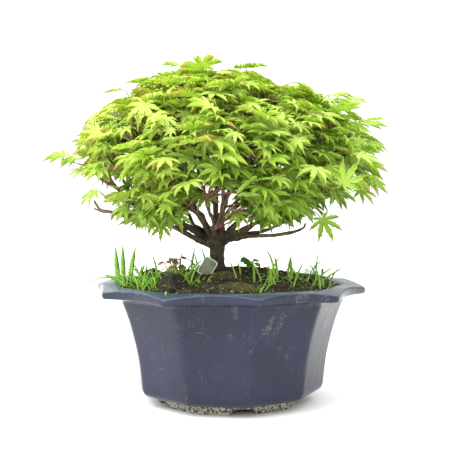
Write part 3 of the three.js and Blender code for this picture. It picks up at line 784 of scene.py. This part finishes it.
# Leaves that stand out from the rest: base, direction of the middle lobe, facing, and length.
LONE_LEAVES = [
    ((-44, -18, 365), (0.5, -0.5, 0.05), (0.05, -0.25, 1), 23),
    ((-54, -10, 368), (-0.9, -0.4, 0.0), (-0.05, -0.4, 1), 21),
    ((14, -16, 364), (0.5, -0.7, 0.05), (0.1, -0.3, 1), 22),
    ((22, -14, 367), (0.9, -0.3, -0.05), (0.15, -0.3, 1), 22),
    ((-179, -6, 270), (-1, -0.15, -0.08), (-0.1, -0.35, 1), 27),
    ((-166, -10, 266), (-0.8, -0.5, -0.25), (-0.3, -0.4, 1), 23),
    ((-141, -40, 230), (-0.85, -0.3, -0.45), (-0.4, -0.5, 0.8), 24),
    ((-158, -16, 254), (-0.95, -0.2, -0.2), (-0.1, -0.5, 0.9), 22),
    ((90, -8, 334), (-0.2, -0.9, 0), (0.1, -0.4, 1), 25),
    ((114, 0, 337), (0.7, -0.6, -0.05), (0.1, -0.4, 1), 26),
    ((131, -10, 331), (0.9, -0.3, -0.15), (0.2, -0.4, 1), 24),
    ((148, -14, 304), (0.95, -0.2, -0.1), (0.3, -0.4, 1), 26),
    ((150, -20, 284), (0.95, -0.3, -0.2), (0.3, -0.5, 0.9), 25),
    ((152, -14, 240), (0.85, -0.3, -0.35), (0.4, -0.6, 0.7), 25),
    ((140, -30, 231), (0.6, -0.4, -0.5), (0.3, -0.7, 0.6), 23),
    ((112, -112, 238), (0.5, -0.3, 0.8), (0.05, -0.9, 0.4), 29),
    ((98, -46, 201), (0.42, -0.25, -0.8), (0.1, -0.9, 0.35), 30),
    ((-70, -60, 196), (-0.05, -0.35, -0.9), (-0.1, -0.9, 0.35), 22),
    ((-78, -62, 203), (-0.3, -0.4, -0.8), (-0.2, -0.85, 0.4), 22),
    ((-62, -66, 206), (0.1, -0.4, -0.8), (0.0, -0.85, 0.4), 22),
    ((-54, -64, 208), (0.25, -0.4, -0.75), (0.1, -0.85, 0.45), 24),
    ((-92, -58, 208), (-0.2, -0.4, -0.8), (-0.1, -0.85, 0.45), 23),
    ((-108, -54, 214), (-0.5, -0.4, -0.6), (-0.2, -0.8, 0.5), 22),
    ((8, -70, 209), (0.1, -0.5, -0.8), (0.1, -0.85, 0.5), 22),
    ((36, -66, 203), (0.3, -0.5, -0.5), (0.1, -0.75, 0.6), 23),
    ((62, -60, 212), (0.4, -0.5, -0.5), (0.1, -0.75, 0.6), 23),
    ((-24, -84, 226), (-0.3, -0.6, -0.45), (-0.1, -0.75, 0.6), 24),
]


WINDOW_AT = -16.0  # across, where the canopy opens over the fork
WINDOW_WIDE = 38.0
GAP_AT = np.array([-125.0, 240.0])  # across and up: an opening at the left, through which the limbs show
GAP_HALF = np.array([17.0, 12.0])


def open_underneath(base):
    """Which leaves are kept: the canopy is hollow under its dome, most of all before and behind the fork.

    Smooth noise also parts the leaves into clumps, with gaps that show the twigs.
    """
    out = base - CANOPY_MIDDLE
    level = np.hypot(out[:, 0], out[:, 1])
    facing = np.abs(out[:, 1]) / np.maximum(level, 1)
    bowl = 37 * (np.clip(level - 82, 0, None) / 70) ** 1.5
    window = 46 * facing**2 * np.clip((155 - level) / 60, 0, 1)
    window = window * np.exp(-(((base[:, 0] - WINDOW_AT) / WINDOW_WIDE) ** 2))
    left = 26 * np.clip((-out[:, 0] - 85) / 50, 0, 1)
    right = 14 * np.clip((out[:, 0] - 62) / 25, 0, 1)
    floor = 195 + bowl + window + left + right + 30 * np.clip(1 - level / 110, 0, 1)
    clumps = noise(base, 33, 77) > -0.3 - 0.25 * np.clip(out[:, 2] / 80, 0, 1)
    clumps &= np.sum(((base[:, [0, 2]] - GAP_AT) / GAP_HALF) ** 2, axis=1) > 1
    return clumps & (base[:, 2] > floor + 9 * noise(base, 30, 51))


def grow_leaves(rng):
    """Places the leaves in layers under the canopy's skin. Gives each one's place, directions and traits, and
    the painted sunlight that makes the outer, upper and left-hand leaves paler.
    """
    parts = []
    for share, depth, spread, lowest in LAYERS:
        count = int(share * LEAVES)
        direction = unit(sphere_spread(count, lowest) + 0.09 * rng.normal(size=(count, 3)))
        fill = depth + spread * rng.normal(size=count)
        parts.append((direction, fill))
    direction = np.vstack([part[0] for part in parts])
    fill = np.concatenate([part[1] for part in parts])
    base = CANOPY_MIDDLE + direction * (canopy_reach(direction) * fill)[:, None]
    base[:, 0] += CANOPY_LEAN * np.clip(direction[:, 2], 0, 1) ** 2
    base[:, 2] = np.minimum(base[:, 2], CANOPY_MIDDLE[2] + CANOPY_UP - 9)
    kept = open_underneath(base)
    direction, fill, base = direction[kept], fill[kept], base[kept]
    count = len(base)
    outward = unit(direction * [1, 1, 1.3])
    level = unit(outward * [1, 1, 0] + 0.75 * rng.normal(size=(count, 3)) * [1, 1, 0])
    steep = np.clip(1 - direction[:, 2:], 0, 1.6)
    along = unit(level + UP * (0.04 - 0.27 * steep) + 0.36 * rng.normal(size=(count, 3)))
    along[:, 2] = np.minimum(along[:, 2], 0.2)
    along = unit(along)
    skyward = UP * (1 + 1.5 * np.clip(direction[:, 2:], 0, 1) ** 2)
    facing = unit(0.42 * outward + skyward + 0.33 * rng.normal(size=(count, 3)))
    length = LEAF_LENGTH * np.exp(0.18 * rng.normal(size=count)) * np.where(fill < 0.66, 0.9, 1.0)
    # Painted sunlight: outer leaves, those on top and those to the left are made paler and yellower, as if
    # lit from above and the left.
    light = np.clip(0.7 * (fill - 0.5) / 0.4 + 0.45 * direction[:, 2] - 0.12 * direction[:, 0], 0, 1)
    painted_sunlight = np.clip(light + 0.16 * rng.normal(size=count), 0, 1)
    bronze = rng.normal(0.1, 0.32, count) + 0.6 * direction[:, 2] - 0.4 * direction[:, 0]
    bronze = np.clip(bronze, 0, 0.95)
    lone = [np.array(column, float) for column in zip(*LONE_LEAVES)]
    extra = len(lone[0])
    facing = np.vstack([facing, unit(lone[2])])
    along = np.vstack([along, unit(lone[1])])
    return {
        "base": np.vstack([base, lone[0]]),
        "along": along,
        "facing": unit(facing - along * np.sum(facing * along, axis=1, keepdims=True)),
        "length": np.append(length, lone[3]),
        "bend": rng.uniform(0.0, 0.34, count + extra),
        "fold": rng.uniform(0.08, 0.34, count + extra),
        "painted_sunlight": np.append(painted_sunlight, np.full(extra, 0.62)),
        "tone": np.append(rng.uniform(0, 1, count) ** 1.5, np.full(extra, 0.12)),
        "bronze": np.append(bronze, np.full(extra, 0.1)),
    }


def make_leaves(name, grown, chosen, material, replaces):
    """One spray's leaves as a piece, with what its material reads: painted sunlight, tone, bronze, reach and
    vein.
    """
    pick = {key: values[chosen] for key, values in grown.items()}
    points = shape_leaves(*(pick[key] for key in ("base", "along", "facing", "length", "bend", "fold")))
    count, each = points.shape[:2]
    faces = [copies_of(part, count, each) for part in LEAF["faces"]]
    attributes = {key: np.repeat(pick[key], each) for key in ("painted_sunlight", "tone", "bronze")}
    attributes["reach"] = np.tile(LEAF["reach"], count)
    attributes["vein"] = np.tile(LEAF["rib"], count)
    piece = make_piece(name, points, faces, material, "maple_leaf", attributes, replaces)
    halves = [np.arange(len(part)) >= len(part) // 2 for part in LEAF["faces"]]
    margin_sharp(piece, np.concatenate([np.tile(half, count) for half in halves]))
    return piece


# ---- wood


def arc(start, end, lift, stations, bow=0.0):
    """Points on a parabola from start to end that is `lift` above the straight line, and `bow` beside it."""
    t = np.linspace(0, 1, stations)[:, None]
    start, end = np.asarray(start, float), np.asarray(end, float)
    shape = 4 * t * (1 - t)
    side = unit(np.cross(end - start, UP))
    return start + (end - start) * t + shape * (UP * lift + side * bow)


def groups_by_direction(vectors, count):
    """Sorts vectors into `count` groups: each joins the nearest of some seeds, picked far from each other."""
    directions = unit(vectors)
    seeds = [int(np.argmax(directions[:, 2]))]
    while len(seeds) < count:
        nearest = np.max(directions @ directions[seeds].T, axis=1)
        seeds.append(int(np.argmin(nearest)))
    return np.argmax(directions @ directions[seeds].T, axis=1)


def crooked(path, size, seed):
    """The path with smooth kinks of up to `size`, none at its two ends."""
    share = np.linspace(0, 1, len(path))
    hold = np.minimum(1, 5 * np.minimum(share, 1 - share))[:, None]
    kinks = np.stack([noise(path, 17, seed + k) for k in range(3)], axis=-1)
    return path + size * hold * kinks


# Low limbs that show under the leaves: points along each, and its radius at both ends.
LOW_LIMBS = [
    (
        [(-15, -2, 170), (-30, -6, 176), (-44, -12, 182), (-60, -22, 191), (-84, -30, 199), (-104, -34, 203)],
        4.2,
        1.7,
    ),
    ([(-104, -34, 203), (-113, -36, 204), (-126, -37, 208), (-138, -38, 211), (-144, -40, 221)], 2.5, 1.5),
    ([(-126, -37, 208), (-136, -36, 208), (-145, -35, 212)], 1.9, 1.2),
    ([(-84, -30, 199), (-104, -36, 218), (-119, -40, 233), (-128, -42, 248), (-134, -44, 262)], 2.5, 1.6),
    ([(-104, -36, 218), (-111, -38, 238), (-121, -40, 253), (-130, -42, 268)], 2.2, 1.3),
    ([(-119, -40, 233), (-134, -42, 243), (-144, -40, 251), (-158, -30, 258), (-172, -14, 262)], 2.0, 0.9),
    (
        [(-40, -58, 240), (-60, -86, 258), (-80, -102, 267)]
        + [(-93, -106, 273), (-96, -108, 281), (-95, -110, 305)],
        2.4,
        1.3,
    ),
    ([(-93, -106, 273), (-99, -106, 281), (-108, -104, 298)], 1.6, 1.0),
    ([(10, -48, 222), (16, -76, 236), (20, -96, 248), (21, -100, 262), (20, -104, 274)], 2.6, 1.5),
    ([(20, -96, 248), (30, -100, 257), (46, -104, 268)], 1.7, 1.0),
    (
        [(-12, -2, 171), (2, -6, 177), (26, -14, 182), (56, -24, 184), (79, -30, 190), (82, -32, 197)],
        3.6,
        1.3,
    ),
    ([(-8, 2, 172), (12, 2, 181), (40, 4, 188), (68, 8, 198)], 3.0, 1.6),
    ([(-10, -4, 173), (12, -12, 186), (26, -22, 194), (42, -32, 199)], 2.8, 1.5),
    ([(-16, -4, 172), (-24, -16, 190), (-30, -28, 205), (-44, -38, 218)], 3.0, 1.5),
    ([(-17, 4, 172), (-38, 14, 188), (-62, 22, 200), (-90, 30, 214)], 3.0, 1.5),
]


def make_wood(hubs, crotch, material):
    """Trunk, limbs and shoots: round bars along crooked paths, melted into one skin and ridged like bark.

    The sprays' starts are sorted by direction into groups. A limb runs part of the way to a group's middle,
    and shoots run on from it to the group's sprays.
    """
    soil_height = soil_top(crotch[0], 0.0)
    foot = np.array([crotch[0], 0, soil_height])
    rise = [foot - UP * 9, foot, foot + [0.5, 0, 9], foot + [-0.3, 0, 22], crotch + UP]
    spine = smooth_path(rise, 8)
    up = spine[:, 2] - soil_height
    flare = 1 + 0.65 * np.exp(-np.clip(up, 0, 99) / 5) + 0.3 * np.clip(up / 32, 0, 1) ** 4
    bars = [tubes([spine], [TRUNK_RADIUS * flare], 20)]
    for degrees, reach in ((-60, 24), (-10, 20), (50, 26), (120, 22), (175, 20), (235, 25)):
        out = heading(float(degrees))
        root = smooth_path([foot + UP * 9, foot + out * 9 + UP * 2.5, foot + out * reach - UP * 3], 6)
        bars.append(tubes([root], [np.linspace(4.2, 1.6, len(root))], 10))
    member = groups_by_direction(hubs - crotch, LIMBS)
    for group in range(member.max() + 1):
        inside = np.flatnonzero(member == group)
        fork = crotch + 0.46 * (hubs[inside].mean(axis=0) - crotch) + UP * 3
        thick = 1.9 + 1.05 * math.sqrt(len(inside))
        limb = crooked(arc(crotch - UP * 5, fork, 5, 20, 3 * math.sin(group * 2.4)), 4.5, group)
        bars.append(tubes([limb], [np.linspace(thick, 2.6, 20)], 12))
        for k in inside:
            shoot = crooked(arc(fork, hubs[k], 7, 22, 3 * math.sin(k)), 4.0, 40 + k)
            bars.append(tubes([shoot], [np.linspace(2.4, 1.5, 22)], 8))
    for route, thick, thin in LOW_LIMBS:
        path = crooked(smooth_path(route, 7), 1.6, 90 + len(route))
        bars.append(tubes([path], [np.linspace(thick, thin, len(path))], 10))
    points, faces = join(bars)
    piece = make_piece("maple_wood", points, faces, material, "bark", replaces=["trunk_and_branches"])
    melt(piece, WOOD_CELL * MM)
    ridge_bark(piece, crotch)
    return piece


def melt(piece, voxel):
    """Joins overlapping bars into one skin on a grid of small cells, and smooths the steps off."""
    remesh = piece.modifiers.new("join", "REMESH")
    remesh.mode = "VOXEL"
    remesh.voxel_size = voxel
    remesh.use_smooth_shade = True
    soften = piece.modifiers.new("soften", "SMOOTH")
    soften.factor = 0.5
    soften.iterations = 3
    bake_modifiers(piece)


def bake_modifiers(piece):
    """Replaces a piece's mesh by what its modifiers make of it, and takes them off."""
    bpy.context.view_layer.update()
    made = bpy.data.meshes.new_from_object(piece.evaluated_get(bpy.context.evaluated_depsgraph_get()))
    piece.modifiers.clear()
    piece.data = made


def ridge_bark(piece, crotch):
    """Moves the skin in and out by upright ridges on the trunk and by small lumps on the limbs."""
    mesh = piece.data
    points = points_of(piece)
    age = np.clip((crotch[2] + 14 - points[:, 2]) / 26, 0, 1)
    ridges = noise(points * [1, 1, 0.28], 2.6, 31) + 0.6 * noise(points * [1, 1, 0.4], 1.6, 32)
    lumps = noise(points, 5, 33)
    shift = age * (0.8 * ridges + 0.6 * lumps) + (1 - age) * (0.35 * lumps + 0.15 * ridges)
    points = points + vertex_values(mesh, "normal") * shift[:, None]
    mesh.vertices.foreach_set("co", ((points + AXIS) * MM).ravel())
    away = np.linalg.norm(points - crotch, axis=1)
    young = np.clip((away - 12) / 50, 0, 1) * (points[:, 2] > crotch[2] - 8)
    store(mesh, "young", young)
    mesh.update()


def make_twigs(grown, spray_of, hubs, material):
    """Fine twigs from each spray's start out to its leaves, and a stalk to every leaf.

    The leaves of a spray are sorted into bunches by direction. A twig runs to the middle of each bunch, and
    each stalk leaves its twig where the leaf is nearest and curves over to the leaf's base.
    """
    base, along = grown["base"], grown["along"]
    twig_paths, twig_radii, stalk_paths = [], [], []
    for k, hub in enumerate(hubs):
        chosen = np.flatnonzero(spray_of == k)
        bunch = groups_by_direction(base[chosen] - hub, min(6, len(chosen)))
        for b in range(bunch.max() + 1):
            mine = chosen[bunch == b]
            target = hub + 0.86 * (base[mine].mean(axis=0) - hub) + UP * 2
            twig = crooked(arc(hub, target, 4, 12, 2 * math.sin(k + 2 * b)), 2.2, 200 + 7 * k + b)
            twig_paths.append(twig)
            twig_radii.append(np.linspace(1.1, 0.6, 12))
            gap = np.linalg.norm(base[mine, None] - twig[None, 4:], axis=2)
            start = twig[4 + np.argmin(gap, axis=1)]
            end = base[mine]
            over = end - along[mine] * 0.38 * np.linalg.norm(end - start, axis=1, keepdims=True)
            stalk_paths.append(bows(start[:, None], over, end, 7))
    stalks = np.concatenate(stalk_paths)
    shapes = [tubes(twig_paths, twig_radii, 6), tubes(stalks, np.full(stalks.shape[:2], 0.5), 4)]
    fresh = [
        np.zeros(len(shapes[0][0])),
        np.tile(np.append(np.repeat(np.linspace(0.0, 0.9, 7), 4), [0, 0.9]), len(stalks)),
    ]
    fresh = {"fresh": np.concatenate(fresh)}
    return make_piece("twigs_and_stalks", *join(shapes), material, "bark", fresh)


# ---- grass, weeds, label


def blades(root, degrees, length, lean, curl, width, stations=8, turn=0.0):
    """Blades of grass: a narrow rhombus section along a line that tips over by `lean`, then by `curl`.

    `turn` twists the section about the line: at 0 the blade bends over its flat side, at 90 over its edge.
    """
    t = np.linspace(0, 1, stations)
    tilt = np.radians(lean[:, None] + curl[:, None] * t**1.4)
    out = heading(degrees)
    step = (length / (stations - 1))[:, None, None]
    along = np.sin(tilt)[..., None] * out[:, None] + np.cos(tilt)[..., None] * UP
    middle = root[:, None] + np.cumsum(along * step, axis=1) - along[:, :1] * step
    side = heading(degrees + 90)[:, None]
    front = np.cross(side, along)
    twist = np.radians(turn)
    across = np.cos(twist) * side + np.sin(twist) * front
    face = np.cos(twist) * front - np.sin(twist) * side
    half = 0.5 * width[:, None] * np.sin(np.pi * (0.22 + 0.76 * t))[None] ** 0.8
    thick = 0.22 * (1 - 0.7 * t)[None] + 0 * half
    sides = [
        middle + across * half[..., None],
        middle - face * thick[..., None] * 1.6,
        middle - across * half[..., None],
        middle + face * thick[..., None] * 0.4,
    ]
    points, faces = closed(np.stack(sides, axis=2), middle[:, 0], middle[:, -1])
    reach = np.append(np.repeat(t, 4), [0, 1])
    return points, faces, np.tile(reach, len(root)), len(reach)


def make_grass(name, rng, material, spots, count, spread, length, lean, curl, replaces=()):
    """A tuft: blades from roots scattered round its spots on the soil."""
    spots = np.asarray(spots, float)
    root = spots[rng.integers(len(spots), size=count)] + rng.normal(size=(count, 2)) * spread
    distance = np.maximum(np.hypot(*root.T), 1e-6)
    root = root * np.minimum(1, MOUTH_RADIUS * GRASS_LIMIT / distance)[:, None]
    root = np.column_stack([root, soil_top(root[:, 0], root[:, 1]) - 1.5])
    degrees = rng.uniform(-180, 180, count)
    size = length * rng.uniform(0.4, 1.25, count)
    hides_label = (np.abs(root[:, 0] - LOW_GRASS_AT) < LOW_GRASS_HALF) & (root[:, 1] < -20)
    size = np.where(hides_label, LOW_GRASS_SHARE * size, size)
    lean = lean * rng.uniform(0.1, 1.0, count)
    curl = curl * rng.uniform(0.2, 1.2, count)
    points, faces, reach, each = blades(root, degrees, size, lean, curl, rng.uniform(1.7, 3.1, count))
    tone = np.repeat(rng.uniform(0, 0.8, count), each)
    return make_piece(name, points, faces, material, "grass", {"reach": reach, "tone": tone}, replaces)


# Blades that stand out: root across and to the back, heading, length, lean, curl, width and turn.
TALL_BLADES = [
    (-123, 8, -90, 44, 8, -6, 6.0, 75),
    (-117, 2, -90, 44, 3, -3, 5.4, 80),
    (-110, -4, 90, 40, 6, 8, 5.4, 80),
    (-118, 0, -90, 48, 48, 110, 1.9, 90),
    (-118, -4, -90, 25, 42, 45, 3.9, 65),
    (-96, -20, 90, 32, 32, 105, 3.4, 65),
    (-112, -22, -80, 24, 40, 60, 3.4, 55),
    (-92, -62, 90, 34, 12, 150, 2.6, 75),
    (-72, -70, 90, 36, 20, 130, 2.2, 75),
    (-44, -74, 100, 34, 10, 60, 3.0, 60),
    (26, -74, -20, 24, 6, 12, 2.6, 0),
    (40, -78, 80, 36, 8, 30, 2.4, 60),
    (34, -70, -80, 34, 12, 40, 2.2, 60),
    (66, -72, 70, 34, 14, 20, 2.2, 60),
    (86, -56, 80, 34, 35, 30, 2.8, 55),
    (92, -50, 90, 38, 45, 25, 2.6, 60),
]


def tall_blades(material):
    """The broad blades that stand up at the left edge, and the long ones that arch over the soil and lip."""
    x, y, degrees, length, lean, curl, width, turn = np.array(TALL_BLADES, float).T
    root = np.column_stack([x, y, soil_top(x, y) - 2])
    points, faces, reach, _ = blades(root, degrees, length, lean, curl, width, 12, turn[:, None, None])
    tone = np.full(len(points), 0.25)
    make_piece("tall_blades", points, faces, material, "grass", {"reach": reach, "tone": tone})


def make_weed(name, node, rng, material, slot, stalk_material, leaf_wide, leaf_long, count, tall):
    """A low weed over its CAD node: stalks from one root, each ending in an oval leaf, cupped and tilted."""
    x, y = node_box(node).mean(axis=0)[:2]
    root = np.array([x, y, soil_top(x, y) - 1])
    degrees = np.arange(count) * 137.5 + rng.uniform(-20, 20, count)
    out = heading(degrees) * rng.uniform(0.25, 0.75, (count, 1)) * tall
    end = root + out + UP * (tall * rng.uniform(0.5, 1.15, count))[:, None]
    over = root + 0.25 * out + UP * (0.7 * (end - root)[:, 2:])
    stalks = bows(root, over, end, 6)
    points, faces = tubes(stalks, np.full(stalks.shape[:2], 0.45), 5)
    fresh = {"fresh": np.full(len(points), 0.3)}
    make_piece(name + "_stalks", points, faces, stalk_material, slot, fresh)
    around, across = 14, 5
    turn = np.linspace(0, 2 * np.pi, around, endpoint=False)[None]
    share = np.sin(np.linspace(-0.5, 0.5, across) * np.pi * 0.96)[:, None]
    level = np.sqrt(1 - share**2)
    x = level * np.cos(turn) * leaf_wide / 2
    y = (level * np.sin(turn) + 0.9) * leaf_long / 2
    oval = np.stack([x, y, share * 0.35 + 0.035 * x**2 - 0.02 * y**2], axis=-1)
    oval, faces = closed(oval[None], oval[:1].mean(axis=1), oval[-1:].mean(axis=1))
    upward = unit(0.3 * unit(out) + [0, -0.7, 1.0] + 0.2 * rng.normal(size=(count, 3)))
    along = unit(out - upward * np.sum(out * upward, axis=1, keepdims=True))
    placed = end[:, None] + turned_to(oval, np.cross(along, upward), along, upward)
    faces = [copies_of(part, count, len(oval)) for part in faces]
    return make_piece(name + "_leaves", placed, faces, material, slot, replaces=[node])


def make_label(material):
    """A thin film with a raised rounded edge, leaning back and to the right at the trunk.

    Its outline is a rounded box: the direction over the 8-norm of its cosine and sine. Rings of that outline
    run from the middle of one side over the edge to the middle of the other, on a slightly warped sheet.
    """
    centre = node_box("plant_tag").mean(axis=0) + LABEL_SHIFT
    long = unit(np.array([0.54, 0.22, 0.84]))
    wide = unit(np.cross(long, [0.12, -1.0, 0.25]))
    thin = np.cross(wide, long)
    thin = thin * -np.sign(thin[1])
    wide = np.cross(long, thin)
    around = 48
    turn = np.linspace(0, 2 * np.pi, around, endpoint=False)
    round_box = 1 / (np.abs(np.cos(turn)) ** 8 + np.abs(np.sin(turn)) ** 8) ** (1 / 8)
    share = np.array([0.55, 0.86, 0.9, 0.96, 1.0, 1.0, 0.96, 0.9, 0.86, 0.55])
    level = np.array([0.18, 0.18, 0.4, 0.4, 0.25, -0.25, -0.4, -0.4, -0.18, -0.18])
    x = share[:, None] * round_box * np.cos(turn) * LABEL_HALF_WIDE
    y = share[:, None] * round_box * np.sin(turn) * LABEL_HALF_LONG
    z = level[:, None] + 0.012 * x**2 - 0.006 * y**2
    rings = centre + x[..., None] * wide + y[..., None] * long + z[..., None] * thin
    half = thin[None] * LABEL_THICK / 2
    points, faces = closed(rings[None], centre + half, centre - half)
    faces = [part[:, ::-1] for part in faces]
    edge = {"edge": np.append(np.repeat((share > 0.87).astype(float), around), [0, 0])}
    return make_piece("blank_label", points, faces, material, "tag_plastic", edge, ["plant_tag"])


# ---- room


def make_room():
    """A white floor, a bright studio behind and to the left, and a soft overhead light."""
    scene = bpy.context.scene
    scene.view_settings.view_transform = "Standard"
    card = bpy.data.materials.new("white card floor")
    card.use_nodes = True
    paper = card.node_tree.nodes["Principled BSDF"]
    paper.inputs["Base Color"].default_value = linear("#dededc")
    paper.inputs["Roughness"].default_value = 0.9
    half = FLOOR_HALF
    mesh = bpy.data.meshes.new("floor")
    corners = [(-half, -half, 0), (half, -half, 0), (half, half, 0), (-half, half, 0)]
    mesh.from_pydata(corners, [], [(0, 1, 2, 3)])
    mesh.materials.append(card)
    floor = bpy.data.objects.new("floor", mesh)
    scene.collection.objects.link(floor)

    world = bpy.data.worlds.new("studio")
    scene.world = world
    world.use_nodes = True
    world.node_tree.nodes.clear()
    add = functools.partial(add_node, world.node_tree)
    across, deep, high = add("SeparateXYZ", add("TexCoord", out="Generated")).node.outputs
    back = add("MapRange", deep, -0.4, 0.75, 1.0, 1.2, **SMOOTH)
    left = add("MapRange", across, -1.0, 0.3, 1.1, 0.0, **SMOOTH)
    above = add("MapRange", high, 0.0, 0.9, 0.0, 1.7, **SMOOTH)
    strength = add("Math", add("Math", back, left, **PLUS), above, **PLUS)
    add("OutputWorld", add("Background", "#ffffff", strength))

    key = bpy.data.lights.new("overhead softbox", "AREA")
    key.shape = "DISK"
    key.size = LAMP_WIDE
    key.energy = LAMP_WATTS
    lamp = bpy.data.objects.new("overhead softbox", key)
    lamp.location = LAMP_PLACE
    lamp.rotation_mode = "QUATERNION"
    lamp.rotation_quaternion = (Vector(LAMP_AIM) - lamp.location).to_track_quat("-Z", "Y")
    scene.collection.objects.link(lamp)


def make_camera():
    """A camera a metre in front of the pot's axis, below the canopy's middle, tipped down a little."""
    camera = bpy.data.cameras.new("camera")
    camera.sensor_width = 36
    camera.lens = CAMERA_LENS
    holder = bpy.data.objects.new("camera", camera)
    holder.location = (CAMERA_PLACE + AXIS) * MM
    holder.rotation_euler = (math.radians(90 - CAMERA_DIP), 0, 0)
    bpy.context.scene.collection.objects.link(holder)
    bpy.context.scene.camera = holder


# ---- the whole


def find_tree():
    """Where the trunk forks, and the sprays' names, the middles of their boxes and where they start."""
    wood = points_of(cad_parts["trunk_and_branches"])
    stem = wood[(wood[:, 2] > SOIL_TOP + 2) & (wood[:, 2] < SOIL_TOP + 22)]
    crotch = np.array([(stem[:, 0].max() + stem[:, 0].min()) / 2, 0.0, SOIL_TOP + 27])
    sprays = sorted(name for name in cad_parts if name.startswith("leaf_spray_"))
    centres = np.array([node_box(name).mean(axis=0) for name in sprays])
    corners = [points_of(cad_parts[name]) for name in sprays]
    hubs = np.array([each[np.argmin(np.linalg.norm(each - crotch, axis=1))] for each in corners])
    return crotch, sprays, centres, hubs


def main():
    """Builds everything. The pieces that draw random numbers are made in a fixed order."""
    rng = np.random.default_rng(7)
    make_camera()
    make_room()

    make_pot(indigo_glaze())
    soil = damp_soil()
    make_soil(soil)
    points, faces = crumbs(rng, CRUMBS, 0.5, 1.9)
    shade = {"crumb": np.repeat(rng.uniform(0, 1, CRUMBS) ** 1.8, 6)}
    make_piece("soil_crumbs", points, faces, soil, "soil", shade, smooth=False)
    make_cushion("clod_left", "soil_clod_left", soil, "soil_clod", 1.2)
    make_cushion("clod_front", "soil_clod_front", soil, "soil_clod", 1.4)
    moss = moss_pile()
    for node in ("moss_front", "moss_trunk", "moss_right"):
        make_cushion(node + "_pile", node, moss, "moss", 0.7)

    crotch, sprays, centres, hubs = find_tree()
    make_wood(hubs, crotch, old_bark())
    grown = grow_leaves(rng)
    spray_of = np.argmin(np.linalg.norm(grown["base"][:, None] - centres, axis=2), axis=1)
    leaf = maple_leaf()
    for k, name in enumerate(sprays):
        make_leaves(name + "_leaves", grown, spray_of == k, leaf, [name])
    skin = twig_skin()
    make_twigs(grown, spray_of, hubs, skin)

    grass = grass_blade()
    for k in range(1, 9):
        node = f"grass_tuft_{k}"
        spot = node_box(node).mean(axis=0)[:2]
        count, spread, tall = (34, 12, 33) if spot[0] < -30 else (15, 11, 38)
        make_grass(node + "_blades", rng, grass, [spot], count, spread, tall, 60, 95, [node])
    tall_blades(grass)
    stray = heading(rng.uniform(-180, 180, 26))[:, :2] * rng.uniform(45, 112, (26, 1))
    make_grass("stray_blades", rng, grass, stray, 60, 3, 26, 50, 80)
    make_label(label_film())
    bronze = broad_leaf("bronze weed leaf", "#8a4a34", "#b87a5c")
    make_weed("red_weed", "red_leaved_weed", rng, bronze, "bronze_leaf", skin, 6, 8, 9, 17)
    dark = broad_leaf("dark weed leaf", "#44801f", "#6cae38")
    make_weed("round_weed", "round_leaved_weed", rng, dark, "weed_leaf", skin, 8, 8, 6, 11)

    # These CAD nodes are fine enough as they are and only need a finish.
    dry = broad_leaf("dry leaf", "#6d3522", "#9a5a3c")
    finishes = {"fallen_leaf": dry, "drain_mesh": black_net(), "drain_mesh_clip": soft_wire()}
    for node, finished in finishes.items():
        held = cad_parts[node].data.materials
        held.clear()
        held.append(finished)


main()
